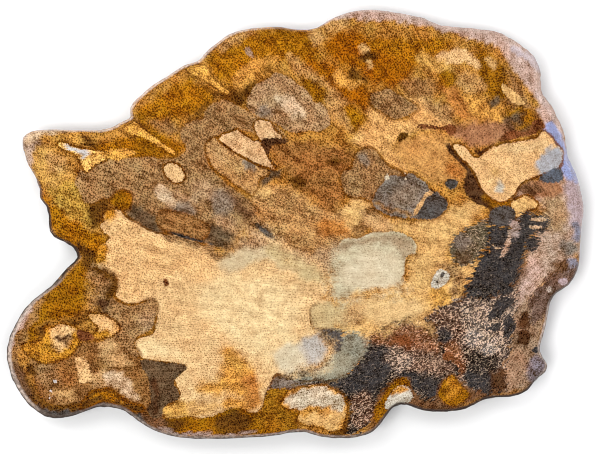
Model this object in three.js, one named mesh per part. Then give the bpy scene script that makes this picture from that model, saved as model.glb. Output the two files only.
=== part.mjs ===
// A polished slice of petrified wood, lying flat.
//
// It is one stone: a cross-cut through a lobed fossil trunk. Both cut faces are flat and polished, and the
// edge between them follows the old bark. The edge bulges a little at mid height, is tumbled to a soft
// round at the upper face and to a tighter one at the underside, and carries the shallow lumps of the bark.
//
// Units are millimetres, +Z up. The origin is the middle of the underside, +X runs along the long way of
// the slice and the narrow tip points to -X.

import * as THREE from 'three';

const THICKNESS = 8;

// The natural outline seen from above, clockwise from the narrow tip, as [x, y] from the lower left corner
// of the box around the slice.
const OUTLINE = [
  // upper side of the narrow tip
  [2.1, 47.1], [2.4, 47.9], [3.2, 48.6], [4.8, 49.0], [8.0, 49.1], [11.2, 49.0], [14.0, 49.0],
  [16.0, 49.4], [17.6, 50.2], [19.2, 51.1],
  // first bark lobe
  [19.2, 52.4], [19.8, 53.5], [21.2, 54.9], [23.2, 56.5], [25.2, 57.7], [27.2, 59.1], [28.8, 59.8],
  [30.2, 60.3],
  // second bark lobe
  [31.2, 61.5], [32.8, 62.9], [34.7, 64.3], [37.1, 65.2], [40.3, 65.6], [43.2, 65.7], [45.1, 65.4],
  [47.6, 65.3],
  // crest of the far side
  [49.2, 65.7], [50.8, 66.7], [53.1, 67.8], [55.6, 68.4], [58.2, 68.5], [61.1, 68.2], [64.0, 67.7],
  [66.5, 67.1], [68.8, 66.1], [71.6, 65.8], [75.2, 65.5], [77.7, 65.1],
  // shoulder and right side
  [80.0, 64.1], [82.2, 62.6], [83.8, 61.2], [84.8, 59.4], [85.0, 57.2], [85.2, 55.1], [86.2, 53.8],
  [87.3, 51.9], [88.3, 49.7], [88.9, 47.4], [89.1, 45.5], [89.9, 43.4], [90.8, 41.3], [91.2, 39.4],
  [91.6, 37.5], [91.7, 36.1], [91.4, 34.5], [91.2, 32.5], [91.0, 30.0], [90.8, 27.4], [90.0, 25.5],
  [88.8, 24.1], [87.2, 23.0],
  // hollow at the lower right and the knob below it
  [86.3, 21.8], [85.8, 19.7], [85.3, 17.5], [84.7, 15.4], [84.5, 14.0], [85.0, 12.7], [85.6, 11.7],
  [85.3, 10.6], [84.3, 9.7], [83.3, 8.7], [82.2, 7.5],
  // near side, right lobe
  [80.3, 6.7], [78.0, 6.5], [75.8, 6.2], [73.6, 5.2], [71.3, 4.4], [68.4, 4.2], [65.9, 4.4], [63.6, 5.2],
  // near side, middle lobe and long belly
  [62.0, 5.3], [60.8, 4.6], [59.5, 2.9], [57.9, 1.2], [55.6, 0.3], [52.8, 0.1], [49.6, 0.3], [47.3, 1.0],
  [45.1, 1.0], [42.4, 0.5], [38.4, 0.2], [32.8, 0.0], [28.0, 0.2], [24.8, 0.8], [22.2, 1.9], [19.8, 3.6],
  // lower left foot
  [18.2, 4.6], [16.0, 5.0], [14.0, 4.9], [11.8, 4.1], [9.2, 3.4], [7.2, 3.3], [5.2, 4.1], [3.2, 5.8],
  [1.6, 8.2], [0.5, 10.6], [0.0, 12.9], [0.2, 15.4], [1.1, 17.7], [2.3, 19.9], [3.5, 21.5],
  // notch in the left side
  [5.4, 23.0], [7.2, 24.5], [8.8, 26.5], [10.2, 27.8], [10.9, 28.8], [10.4, 30.1], [8.9, 31.1],
  [7.3, 31.9], [6.5, 33.2],
  // lower side of the narrow tip
  [6.4, 35.1], [6.0, 36.8], [5.0, 38.1], [4.9, 39.6], [4.1, 41.7], [3.0, 43.6], [2.4, 45.5],
];

// Every point of the outline can be seen from the heart, so each spoke from it crosses the edge once.
const HEART = new THREE.Vector3(46.4, 33.2, 0);
const SPOKES_PER_SPAN = 2; // spokes for each span between two outline points
const STEEPEST_SLANT = 0.55; // least cosine between a spoke and the edge's normal that an inset allows for

// The tumbled rim of the upper face is wide at the shoulder, middling at the foot and narrow elsewhere.
const RIM_WIDTH = 1.1;
const RIM_DEPTH = 1.5;
const RIM_STEPS = 4;
const WIDE_RIMS = [
  { toward: 36, reach: 42, extra: 1.2 }, // degrees from +X at the heart, half reach, added width
  { toward: 205, reach: 30, extra: 0.6 },
];

// Under the rim the flank swells to the full outline, then tucks in to the underside.
const FLANK = [
  { inset: 0.0, height: 4.6 },
  { inset: 0.05, height: 2.9 },
  { inset: 0.35, height: 1.2 },
  { inset: 0.75, height: 0.4 },
  { inset: 1.3, height: 0 },
];
const BARK_LUMP = 0.22; // most that a bark lump is cut back from the outline
const LUMPS_ROUND = [31, 53, 87]; // how many lumps of each size go round the edge

/** Box of the outline, for its size and its middle. */
function boxOf(points) {
  return new THREE.Box3().setFromPoints(points);
}

/** The outline as evenly numbered points, moved so that the middle of its box is the origin. */
function edgePoints() {
  const control = OUTLINE.map(([x, y]) => new THREE.Vector3(x, y, 0));
  const curve = new THREE.CatmullRomCurve3(control, true, 'centripetal');
  const points = curve.getPoints(OUTLINE.length * SPOKES_PER_SPAN).slice(0, -1);
  const middle = boxOf(points).getCenter(new THREE.Vector3());
  return { points: points.map((p) => p.sub(middle)), heart: HEART.clone().sub(middle) };
}

/** One spoke for each edge point: where it ends, its way out, its bearing and what 1 mm of inset costs. */
function spokesOf(points, heart) {
  const count = points.length;
  const spokes = points.map((tip, i) => {
    const out = tip.clone().sub(heart).normalize();
    const along = points[(i + 2) % count].clone().sub(points[(i - 2 + count) % count]).normalize();
    const facing = Math.abs(out.x * along.y - out.y * along.x);
    return { tip, out, bearing: THREE.MathUtils.radToDeg(Math.atan2(out.y, out.x)), facing };
  });
  return spokes.map((spoke, i) => {
    const near = [-2, -1, 0, 1, 2].map((k) => spokes[(i + k + count) % count].facing);
    const facing = near.reduce((sum, value) => sum + value, 0) / near.length;
    return { ...spoke, share: i / count, slant: 1 / Math.max(facing, STEEPEST_SLANT) };
  });
}

/** Width of the tumbled rim where a spoke meets it. */
function rimWidth(bearing) {
  return WIDE_RIMS.reduce((width, { toward, reach, extra }) => {
    const away = Math.abs(((bearing - toward + 540) % 360) - 180);
    return width + extra * THREE.MathUtils.smoothstep(1 - away / reach, 0, 1);
  }, RIM_WIDTH);
}

/** How deep the bark is cut back from the outline at a place on the flank, from 0 to BARK_LUMP. */
function barkAt(share, height) {
  const turn = 2 * Math.PI * share;
  const wave = LUMPS_ROUND.reduce((sum, lumps, k) => {
    const drift = Math.sin((k + 1) * (height / THICKNESS) * Math.PI + k);
    return sum + Math.cos(lumps * turn + 2 * drift) / LUMPS_ROUND.length;
  }, 0);
  const fade = Math.sin((Math.PI * height) / THICKNESS);
  return BARK_LUMP * fade * (0.5 + 0.5 * wave);
}

/** The edge's profile from the upper face to the underside, as functions of the spoke. */
function profile() {
  const rim = Array.from({ length: RIM_STEPS + 1 }, (_, k) => {
    const turn = ((Math.PI / 2) * k) / RIM_STEPS;
    return {
      inset: (spoke) => rimWidth(spoke.bearing) * (1 - Math.sin(turn)),
      height: THICKNESS - RIM_DEPTH * (1 - Math.cos(turn)),
    };
  });
  return [...rim, ...FLANK.map(({ inset, height }) => ({ inset: () => inset, height }))];
}

/** A closed loop of points at one height of the profile. */
function loopAt(spokes, { inset, height }) {
  return spokes.map((spoke) => {
    const back = (inset(spoke) + barkAt(spoke.share, height)) * spoke.slant;
    return spoke.tip.clone().addScaledVector(spoke.out, -back).setZ(height);
  });
}

/** Triangles that fill a flat loop, facing up or down. `first` is the index of the loop's first point. */
function capOf(loop, first, facesUp) {
  const flat = loop.map((p) => new THREE.Vector2(p.x, p.y));
  return THREE.ShapeUtils.triangulateShape(flat, []).flatMap(([a, b, c]) => {
    const anticlockwise = !THREE.ShapeUtils.isClockWise([flat[a], flat[b], flat[c]]);
    const corners = anticlockwise === facesUp ? [a, b, c] : [a, c, b];
    return corners.map((corner) => first + corner);
  });
}

/** A closed skin over a stack of clockwise loops, from the top one to the bottom one. */
function skinOver(loops) {
  const round = loops[0].length;
  const faces = [];
  for (let level = 0; level + 1 < loops.length; level++) {
    for (let i = 0; i < round; i++) {
      const next = (i + 1) % round;
      const [upper, upperNext] = [level * round + i, level * round + next];
      const [lower, lowerNext] = [upper + round, upperNext + round];
      faces.push(upper, upperNext, lower, upperNext, lowerNext, lower);
    }
  }
  faces.push(...capOf(loops[0], 0, true));
  faces.push(...capOf(loops.at(-1), (loops.length - 1) * round, false));

  const geometry = new THREE.BufferGeometry().setFromPoints(loops.flat());
  geometry.setIndex(faces);
  geometry.computeVertexNormals();
  return geometry;
}

const { points, heart } = edgePoints();
const spokes = spokesOf(points, heart);
const slice = new THREE.Mesh(
  skinOver(profile().map((level) => loopAt(spokes, level))),
  new THREE.MeshStandardMaterial({ color: 0xb37a32, roughness: 0.25, metalness: 0 }),
);
slice.name = 'slice';

const petrifiedWoodSlice = new THREE.Group();
petrifiedWoodSlice.name = 'petrified_wood_slice';
petrifiedWoodSlice.add(slice);

export default petrifiedWoodSlice;
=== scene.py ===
"""Petrified wood slice, dressed for rendering.

One stone: a cross-cut through a lobed fossil trunk, polished on both cut faces, lying flat on a pale floor.
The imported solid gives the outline, the rim and the flank. The script lays a finer skin over the same loops,
roughens the bark, stains the stone mineral by mineral, and sets up a soft studio around it.

Lengths are millimetres until the mesh is scaled to metres. Stain outlines are measured from the lower left
corner of the box around the slice, seen from above.
"""

import logging
import math
from collections.abc import Callable
from dataclasses import dataclass, field
from enum import Enum
from functools import partial

import bmesh
import bpy
import numpy as np
from mathutils import Matrix, Vector


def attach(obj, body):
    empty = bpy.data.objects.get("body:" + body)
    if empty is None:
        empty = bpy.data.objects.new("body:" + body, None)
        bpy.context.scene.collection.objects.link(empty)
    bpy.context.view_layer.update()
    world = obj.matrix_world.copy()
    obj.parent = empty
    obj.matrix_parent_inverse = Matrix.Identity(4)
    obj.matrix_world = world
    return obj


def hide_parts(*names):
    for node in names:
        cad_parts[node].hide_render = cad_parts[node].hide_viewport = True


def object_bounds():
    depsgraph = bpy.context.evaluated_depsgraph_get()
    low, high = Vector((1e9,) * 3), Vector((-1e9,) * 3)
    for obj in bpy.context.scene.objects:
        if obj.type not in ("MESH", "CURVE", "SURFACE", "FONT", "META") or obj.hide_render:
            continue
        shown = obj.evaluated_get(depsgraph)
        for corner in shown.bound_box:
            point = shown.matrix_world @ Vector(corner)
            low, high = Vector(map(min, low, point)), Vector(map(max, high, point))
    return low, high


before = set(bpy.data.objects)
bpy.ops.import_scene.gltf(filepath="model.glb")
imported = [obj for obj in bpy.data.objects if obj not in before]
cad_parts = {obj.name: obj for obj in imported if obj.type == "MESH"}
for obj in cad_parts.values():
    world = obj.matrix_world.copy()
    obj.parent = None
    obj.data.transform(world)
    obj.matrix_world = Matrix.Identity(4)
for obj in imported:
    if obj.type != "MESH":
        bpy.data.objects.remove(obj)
CAD_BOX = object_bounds()

MM = 0.001  # metres in a millimetre
NODE = "slice"

log = logging.getLogger("petrified_wood_slice")

Point = tuple[float, float]
Socket = bpy.types.NodeSocket
Feed = Socket | float | tuple[float, ...]  # what an input of a node takes: another socket, or a value


# ------------------------------ Minerals ------------------------------


@dataclass(frozen=True)
class Pigment:
    """Colour of one mineral and how much of the old wood still shows in it.

    Attributes:
        rgb: Display colour of the clean mineral, 0 to 255.
        pores: How dark the wood's vessels show, 0 to 1.
        contrast: How strongly the grain and the mottling show, 0 to 1.
        threads: How much of it is crossed by pale threads, 0 to 1.
    """

    rgb: tuple[int, int, int]
    pores: float
    contrast: float
    threads: float = 0.0

    def linear(self) -> np.ndarray:
        """Returns the colour as scene-linear values."""
        return linear_colour(self.rgb)

    def figure(self) -> np.ndarray:
        """Returns what is left of the wood as pores, contrast and threads."""
        return np.array([self.pores, self.contrast, self.threads])


def linear_colour(rgb: tuple[int, int, int]) -> np.ndarray:
    """Turns a display colour, 0 to 255, into scene-linear values."""
    share = np.array(rgb) / 255.0
    return np.where(share <= 0.04045, share / 12.92, ((share + 0.055) / 1.055) ** 2.4)


def opaque(rgb: tuple[int, int, int]) -> tuple[float, ...]:
    """Turns a display colour into the four values of a colour socket."""
    return (*linear_colour(rgb), 1)


class Mineral(Enum):
    """Minerals of the slice, by the colour that their polish shows."""

    # colour, pores, contrast and threads of each
    OCHRE = Pigment((178, 122, 48), 0.8, 0.9)
    AMBER = Pigment((166, 105, 12), 0.9, 0.9)
    TOBACCO = Pigment((158, 90, 6), 0.9, 0.8)
    BRONZE = Pigment((147, 93, 9), 0.9, 0.85)
    OLIVE_GOLD = Pigment((150, 98, 20), 0.9, 0.9)
    OLIVE = Pigment((182, 138, 54), 0.7, 0.8)
    BISTRE = Pigment((98, 60, 16), 0.8, 0.9)
    CLOVE = Pigment((114, 87, 70), 0.5, 0.9)
    EBONY_BROWN = Pigment((82, 50, 26), 0.5, 0.9)
    UMBER = Pigment((152, 106, 56), 0.8, 0.9)
    UMBER_DARK = Pigment((112, 76, 46), 0.7, 0.9)
    GOLD_PALE = Pigment((234, 178, 90), 0.6, 0.8)
    GOLD = Pigment((220, 160, 68), 0.6, 0.8)
    GOLD_AMBER = Pigment((188, 126, 34), 0.7, 0.9)
    CORN_AMBER = Pigment((206, 144, 62), 0.7, 0.7)
    STRAW = Pigment((200, 148, 70), 0.55, 0.7)
    SAND = Pigment((188, 138, 76), 0.7, 0.8)
    BUFF = Pigment((184, 152, 124), 0.5, 0.7)
    TAUPE = Pigment((160, 119, 72), 0.95, 0.85)
    TAN_GREY = Pigment((202, 174, 120), 0.25, 0.3)
    SADDLE = Pigment((142, 96, 48), 0.8, 0.85)
    DRAB_WORM = Pigment((90, 76, 52), 0.5, 0.9, 0.35)
    SAND_GREY = Pigment((176, 138, 96), 0.7, 0.75)
    STONE = Pigment((172, 132, 88), 0.8, 0.85)
    SLATE = Pigment((122, 105, 88), 0.5, 0.9)
    SLATE_PALE = Pigment((138, 117, 94), 0.5, 0.8)
    GRAPHITE = Pigment((80, 71, 63), 0.3, 0.9, 0.03)
    PEAT = Pigment((98, 74, 48), 0.6, 0.9, 0.03)
    RUSSET = Pigment((156, 102, 48), 0.75, 0.85)
    MAHOGANY = Pigment((120, 68, 34), 0.5, 0.9)
    RUST = Pigment((184, 118, 52), 0.55, 0.75)
    ROSE_BROWN = Pigment((168, 114, 74), 0.35, 0.5)
    ROSE_TAN = Pigment((166, 139, 122), 0.4, 0.6)
    ROSE_PALE = Pigment((164, 126, 94), 0.5, 0.6)
    LILAC_GREY = Pigment((122, 106, 104), 0.4, 0.9)
    CARAMEL = Pigment((182, 134, 78), 0.65, 0.85)
    TOFFEE = Pigment((202, 144, 76), 0.35, 0.5)
    APRICOT_TAN = Pigment((198, 152, 96), 0.55, 0.6)
    PEACH = Pigment((232, 183, 120), 0.6, 0.4)
    APRICOT = Pigment((222, 166, 96), 0.55, 0.6)
    HONEY = Pigment((216, 168, 100), 0.3, 0.5)
    HONEY_PALE = Pigment((224, 184, 122), 0.2, 0.3)
    CREAM = Pigment((229, 186, 126), 0.5, 0.35)
    CREAM_PALE = Pigment((216, 171, 118), 0.4, 0.5)
    BISCUIT = Pigment((234, 200, 142), 0.25, 0.3)
    BONE = Pigment((198, 164, 124), 0.3, 0.7)
    FROST = Pigment((168, 164, 160), 0.2, 0.3)
    FROST_GREY = Pigment((186, 175, 158), 0.2, 0.3)
    FROST_CREAM = Pigment((202, 180, 146), 0.4, 0.6)
    WHITE_GREY = Pigment((194, 182, 158), 0.3, 0.5)
    SNOW = Pigment((158, 140, 124), 0.4, 0.9, 0.1)
    SAGE = Pigment((207, 183, 138), 0.15, 0.25)
    SAGE_GREY = Pigment((137, 128, 104), 0.3, 0.6)
    SAGE_PALE = Pigment((197, 181, 142), 0.15, 0.3)
    SAGE_MIST = Pigment((158, 149, 121), 0.2, 0.3)
    SAGE_SHADE = Pigment((168, 143, 107), 0.25, 0.4)
    MILK = Pigment((216, 197, 158), 0.1, 0.2)
    IRON = Pigment((86, 88, 92), 0.25, 0.6)
    # Also laid along the rims of the top, the shoulder and the left foot, where it is partly a painted
    # highlight.
    SHELL = Pigment((190, 156, 134), 0.3, 0.6)
    PEWTER = Pigment((132, 126, 132), 0.2, 0.6)
    WORM_WHITE = Pigment((104, 92, 82), 0.2, 0.9, 1.05)
    LAVENDER = Pigment((177, 154, 149), 0.1, 0.4)
    # Partly painted sheen: the pale lavender of the shoulder's rounded rim, laid on as colour over its rind.
    PALE_RIND_AND_PAINTED_SHEEN = Pigment((188, 169, 163), 0.1, 0.3)
    # Painted reflection: the bluish sheen of the lamps on the rounded right rim, laid on as colour.
    PAINTED_SHEEN_BLUE = Pigment((146, 152, 184), 0.1, 0.3)
    FAWN = Pigment((150, 118, 88), 0.6, 0.8)
    FROST_WHITE = Pigment((206, 200, 190), 0.2, 0.3)
    CHAR = Pigment((50, 45, 42), 0.2, 0.7, 0.1)
    CHAR_WORM = Pigment((42, 32, 24), 0.2, 0.9, 0.34)
    WORM = Pigment((68, 52, 43), 0.2, 0.9, 0.75)
    WORM_PALE = Pigment((92, 76, 64), 0.2, 0.9, 0.95)
    WORM_BROWN = Pigment((78, 51, 35), 0.2, 0.9, 0.62)
    RUSSET_WORM = Pigment((116, 70, 38), 0.3, 0.9, 0.36)


# ------------------------------ Stains of the face ------------------------------


@dataclass(frozen=True)
class Cloud:
    """A soft patch of another mineral inside a stain.

    Attributes:
        name: What it is.
        mineral: Its mineral.
        outline: Its closed outline.
        blur: Width over which it fades out.
    """

    name: str
    mineral: Mineral
    outline: str
    blur: float = 1.0


@dataclass(frozen=True)
class Stain:
    """A patch of one mineral with an edge of its own, and the clouds in it.

    Attributes:
        name: What it is, for the log.
        mineral: Its mineral.
        outline: Its closed outline, or nothing where it is the ground of the whole face.
        edge: Width over which it fades out.
        rind: How dark a rim surrounds it, 0 to 1.
        tatter: How far its edge is torn into strands.
        melts: Outlines within which its edge melts away.
        clouds: Soft patches in it, from the lowest to the top one.
    """

    name: str
    mineral: Mineral
    outline: str = ""
    edge: float = 0.16
    rind: float = 0.0
    tatter: float = 0.0
    melts: tuple[str, ...] = ()
    clouds: tuple[Cloud, ...] = ()


def read_outline(outline: str) -> np.ndarray:
    """Reads x and y of an outline's points from tenths of a millimetre, as in "120,45 131,52"."""
    return np.array([point.split(",") for point in outline.split()], float) / 10


# From the ground up: a later stain lies over an earlier one.
STAINS = (
    Stain("ochre ground", Mineral.OCHRE, clouds=(
        Cloud("straw of the tip", Mineral.STRAW,
            "32,471 73,457 101,425 101,403 89,390 70,393 54,406 29,444", blur=1.3),
        # Pale rind of the tip, with a painted highlight of its rounded rim.
        Cloud("pale nose and painted highlight of the tip", Mineral.BUFF,
            "19,476 32,480 45,477 48,468 41,457 43,444 35,431 27,444", blur=0.6),
        Cloud("sandy middle of the tip", Mineral.SAND, "57,447 73,452 89,441 92,427 78,420 64,428"),
        Cloud("gold line of the tip", Mineral.GOLD, "70,366 120,336 114,333 95,343 76,355", blur=0.5),
        Cloud("olive belly of the tip", Mineral.OLIVE,
            "79,400 108,412 124,393 133,352 127,336 108,343 64,385", blur=1.3),
        Cloud("brown shoulder of the tip", Mineral.BISTRE,
            "133,381 155,381 162,368 152,344 141,333 130,343 127,358"),
        Cloud("dark olive of the tip", Mineral.BISTRE,
            "114,477 130,479 139,472 147,460 136,457 124,461 113,469", blur=0.5),
        Cloud("gold piece of the tip", Mineral.GOLD,
            "92,479 101,480 113,477 119,469 113,468 103,469 95,474", blur=0.3),
        # Pale rind along the tip's rim, with a painted highlight of the rounded rim.
        Cloud("pale rind and painted highlight of the tip", Mineral.BONE,
            "26,472 41,487 117,492 117,488 64,482 48,476 32,463", blur=0.4),
        Cloud("moss of the left foot", Mineral.BRONZE,
            "111,276 133,263 120,203 101,190 60,184 51,171 57,155 26,148 22,168 38,200", blur=1.5),
        Cloud("dark line over the foot", Mineral.BISTRE,
            "57,181 111,190 130,203 127,190 108,181 83,184 64,175 57,159 51,165"),
        Cloud("lower amber of the tip", Mineral.AMBER,
            "54,384 98,349 133,327 165,312 152,303 139,276 120,276 111,295 78,319", blur=0.8),
        Cloud("dark at the notch", Mineral.BISTRE,
            "108,311 127,304 143,289 152,270 146,257 130,263 117,279", blur=0.8),
        Cloud("amber tip band", Mineral.AMBER,
            "133,453 158,468 219,482 241,479 266,469 282,457 257,446 165,446 146,441", blur=0.8),
        Cloud("brown end of the tip band", Mineral.BRONZE,
            "190,453 209,469 234,476 260,469 279,457 257,444"),
        Cloud("sand grey seam", Mineral.SAND_GREY,
            "377,358 412,339 462,285 437,289 393,317 377,333", blur=1.3),
        Cloud("brown below the honey", Mineral.SAND_GREY, "608,165 627,181 680,200 696,194 693,136"),
        Cloud("sage shade over the char", Mineral.SLATE_PALE,
            "424,102 446,113 491,114 510,133 525,159 544,171 570,159 "
            "563,136 548,117 525,100 491,95", blur=0.8),
        Cloud("dark shore of the belly", Mineral.PEAT,
            "402,105 525,102 551,79 535,57 510,79 446,73 412,60 399,73"),
        Cloud("brown shore below the char", Mineral.UMBER_DARK,
            "582,38 605,67 636,86 725,51 763,54 798,67 829,89 848,114 858,92 826,60 779,41 731,32 "
            "684,35 636,48 605,41 567,13", blur=1.3),
        Cloud("dark right of the raft", Mineral.BISTRE,
            "522,79 538,73 549,54 548,29 535,6 516,2 510,13 529,19 535,38 533,57", blur=0.8),
        Cloud("dark rim of the foot", Mineral.BISTRE,
            "26,117 54,70 79,60 117,62 146,75 174,75 225,32 203,29 171,45 139,51 98,41 60,45 35,67 "
            "22,98"),
        Cloud("mauve rim of the foot", Mineral.GRAPHITE,
            "32,57 79,45 101,45 124,48 143,56 165,56 203,43 222,33 241,19 228,13 165,45 92,26 51,32 "
            "29,48", blur=0.4),
        Cloud("dark corner of the belly", Mineral.UMBER_DARK,
            "209,51 231,48 250,35 253,16 231,19 212,32", blur=0.8),
        Cloud("tan rim of the foot", Mineral.UMBER,
            "51,224 32,206 16,184 0,136 2,114 10,89 22,70 29,86 22,114 22,140 57,213", blur=0.8),
        Cloud("umber rim of the foot", Mineral.UMBER_DARK,
            "2,121 8,92 21,70 33,57 41,64 19,121", blur=0.8),
        # Pale rind of the left foot's rim, with a painted highlight of the rounded rim.
        Cloud("pale rind and painted highlight of the foot", Mineral.SHELL,
            "37,211 10,176 2,155 -1,136 5,130 18,168 40,198", blur=0.4),
        Cloud("umber beyond the peach", Mineral.UMBER_DARK,
            "798,384 826,409 832,403 813,374 829,362 820,349 801,346 785,358", blur=0.8),
        Cloud("umber at the wedge top", Mineral.UMBER_DARK,
            "779,507 798,517 820,511 832,498 823,485 798,482 782,488"),
        # Pale rind along the top rim, with a painted sheen of the rounded shoulder.
        Cloud("pale rind and painted sheen of the top", Mineral.SHELL,
            "462,653 540,666 652,658 763,628 788,615 829,583 842,599 810,647 763,675 684,691 589,698 "
            "510,691 462,672", blur=0.6),
        # Pale rind of the shoulder, with a painted lavender sheen of the rounded rim.
        Cloud("pale rind and painted sheen of the shoulder", Mineral.SHELL,
            "791,618 832,596 851,577 883,501 883,482 867,482 845,509 843,526 836,545 793,598", blur=0.8),
        # Painted lavender sheen along the shoulder's edge, over its pale rind.
        Cloud("lavender rind and painted sheen of the shoulder edge", Mineral.PALE_RIND_AND_PAINTED_SHEEN,
            "804,625 829,615 851,596 867,574 896,501 883,501 855,568 839,588 820,604 801,615", blur=0.5),
        Cloud("sand by the seam", Mineral.TAUPE,
            "402,327 510,263 516,289 500,298 472,292 424,320", blur=1.3),
        Cloud("first lobe", Mineral.AMBER,
            "209,523 279,568 304,561 326,545 320,530 304,517 260,504 215,507", blur=1.3),
        Cloud("first lobe deep side", Mineral.BRONZE,
            "206,523 228,492 272,466 279,457 260,457 219,488 206,504", blur=1.3),
        Cloud("first lobe grey shade", Mineral.UMBER,
            "225,503 250,504 266,495 272,482 253,482 234,492"),
        Cloud("first lobe dark foot", Mineral.BISTRE, "339,549 323,536 301,506 272,485 323,542"),
        Cloud("second lobe", Mineral.AMBER,
            "317,599 336,625 386,640 456,640 481,631 491,612 481,593 424,599 361,558 336,568", blur=1.5),
        Cloud("second lobe light band", Mineral.CORN_AMBER,
            "364,583 383,599 408,607 427,606 424,596 402,587 374,558 358,558 355,571"),
        Cloud("second lobe olive end", Mineral.BRONZE,
            "402,644 437,650 478,647 481,634 475,621 456,631 408,634", blur=1.3),
        Cloud("second lobe pale edge", Mineral.SAND, "326,621 345,637 367,645 389,645 339,615"),
        Cloud("second lobe dark foot", Mineral.BISTRE, "339,552 361,549 396,568 364,523 339,539"),
        Cloud("brown of the crest", Mineral.TOBACCO,
            "481,602 551,580 576,545 570,523 544,526 525,542 475,590", blur=2.0),
        Cloud("upper crest", Mineral.TOBACCO,
            "510,640 541,647 652,615 627,571 576,561 557,583 506,606", blur=1.8),
        Cloud("crest dark two", Mineral.BISTRE, "554,606 570,615 586,615 582,604 567,599", blur=0.8),
        Cloud("crest deep corner", Mineral.BISTRE, "541,587 563,577 570,561 557,568 538,571"),
        Cloud("crest corn spot one", Mineral.HONEY,
            "554,625 567,623 575,615 563,610 556,615", blur=0.5),
        Cloud("crest corn spot two", Mineral.HONEY,
            "563,602 573,599 582,588 576,585 567,591", blur=0.5),
        Cloud("crest corn patch", Mineral.CORN_AMBER,
            "513,582 525,585 544,569 559,569 559,558 544,553 529,558 516,568", blur=0.6),
        Cloud("crest pale tuft", Mineral.SAND, "478,647 494,647 503,637 491,625 481,625"),
        Cloud("crest pale edge", Mineral.SAND, "497,656 525,667 541,663 532,652 510,648"),
        Cloud("crest brown right", Mineral.TOBACCO,
            "582,590 608,596 630,587 633,571 614,561 592,571", blur=1.3),
        Cloud("band of amber under the crest", Mineral.AMBER,
            "576,631 684,637 703,625 643,599 595,612", blur=1.5),
        Cloud("sandy diagonal", Mineral.SAND,
            "443,609 459,602 544,530 557,511 560,492 541,488 522,501 472,558", blur=1.3),
        Cloud("russet by the stone", Mineral.BRONZE,
            "465,574 487,568 506,549 500,530 484,536 469,555"),
        Cloud("amber inside the diagonal", Mineral.AMBER,
            "532,530 551,526 563,511 563,495 551,488 538,504"),
        Cloud("apricot diagonal", Mineral.APRICOT,
            "567,520 586,520 601,509 624,504 639,511 649,526 636,539 643,544 703,501 684,492 658,492 "
            "617,479 608,463 620,444 639,431 620,428 601,438 589,453 551,466 544,476 573,501", blur=1.3),
        Cloud("olive taupe under the crest", Mineral.UMBER,
            "624,568 652,574 674,564 677,549 662,539 643,545 627,552", blur=1.3),
        Cloud("tan by the red line", Mineral.CARAMEL,
            "649,542 693,530 709,514 699,501 677,507 662,520", blur=1.3),
        Cloud("orange flush", Mineral.RUST, "693,571 747,504 731,504 715,517 687,555"),
        Cloud("amber right shoulder", Mineral.BRONZE,
            "750,625 807,571 798,549 779,539 760,549 744,606", blur=1.3),
        Cloud("right shoulder brown", Mineral.UMBER,
            "791,583 807,574 836,520 823,517 788,536 798,555", blur=1.3),
        Cloud("corn under the shoulder", Mineral.CORN_AMBER,
            "722,545 744,544 782,517 786,504 766,501 744,511 728,526"),
        Cloud("peach blotch", Mineral.PEACH,
            "680,606 693,615 709,618 725,617 741,609 750,598 747,590 718,599 687,596", blur=0.5),
        Cloud("peach blotch tail", Mineral.SAND,
            "715,580 737,580 753,571 760,558 747,549 728,552 712,561"),
        Cloud("straw left of the blotch", Mineral.STRAW,
            "649,607 668,612 715,577 699,568 684,574 665,587"),
        Cloud("bronze under the blotch", Mineral.BRONZE,
            "680,580 699,583 712,571 703,558 684,564", blur=0.8),
        Cloud("small peach spot", Mineral.HONEY, "756,604 768,604 775,593 769,588 760,595", blur=0.6),
        Cloud("teal spot one", Mineral.PEAT,
            "761,539 774,542 783,539 779,531 769,526 763,531", blur=0.5),
        Cloud("amber by the teal", Mineral.BRONZE,
            "785,517 798,507 801,495 817,492 836,507 832,523 820,526 801,526"),
        Cloud("teal spot two", Mineral.PEAT,
            "799,515 810,520 820,514 817,503 805,499 799,506", blur=0.8),
        Cloud("rose brown field", Mineral.ROSE_BROWN,
            "709,495 766,504 788,495 788,479 756,463 715,472 703,482", blur=1.5),
        Cloud("toffee field", Mineral.TOFFEE,
            "627,472 690,482 725,428 718,412 684,403 646,422 614,450 614,463", blur=1.8),
        Cloud("rust by the wedge", Mineral.RUST, "703,457 728,425 718,409 699,415 693,434", blur=1.3),
        Cloud("rose tan right side", Mineral.BUFF,
            "820,400 883,409 902,393 905,314 896,279 877,257 855,251 801,194 798,213 826,298 851,346 "
            "851,365 807,384", blur=1.5),
        Cloud("russet patch", Mineral.ROSE_BROWN,
            "804,400 855,408 877,403 883,390 867,379 842,381 807,390"),
        Cloud("russet patch dark", Mineral.UMBER_DARK,
            "801,400 817,403 839,400 848,393 836,387 804,390", blur=0.8),
        Cloud("tan right side", Mineral.SAND_GREY,
            "848,377 874,381 883,362 883,336 874,323 855,330 842,343 851,358"),
        Cloud("smudge of the right side two", Mineral.UMBER_DARK,
            "864,279 886,285 889,270 870,265", blur=0.8),
        Cloud("smudge of the right side three", Mineral.UMBER_DARK,
            "855,263 874,266 892,257 889,241 851,251", blur=0.8),
        Cloud("lavender right rim", Mineral.LAVENDER,
            "883,412 896,415 911,400 921,368 918,343 902,320 892,330"),
        # Painted reflection: the bluish sheen of the rounded right rim.
        Cloud("painted blue sheen of the right rim", Mineral.PAINTED_SHEEN_BLUE,
            "855,498 867,501 896,447 908,419 899,406 885,415 875,434 856,479", blur=0.6),
        Cloud("lavender blob one", Mineral.PEWTER,
            "894,339 904,343 911,327 907,311 897,314", blur=0.5),
        Cloud("slate smudge of the right side", Mineral.SLATE,
            "878,317 892,314 899,301 892,289 880,292 874,304", blur=0.6),
        Cloud("lavender blob two", Mineral.PEWTER,
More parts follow.
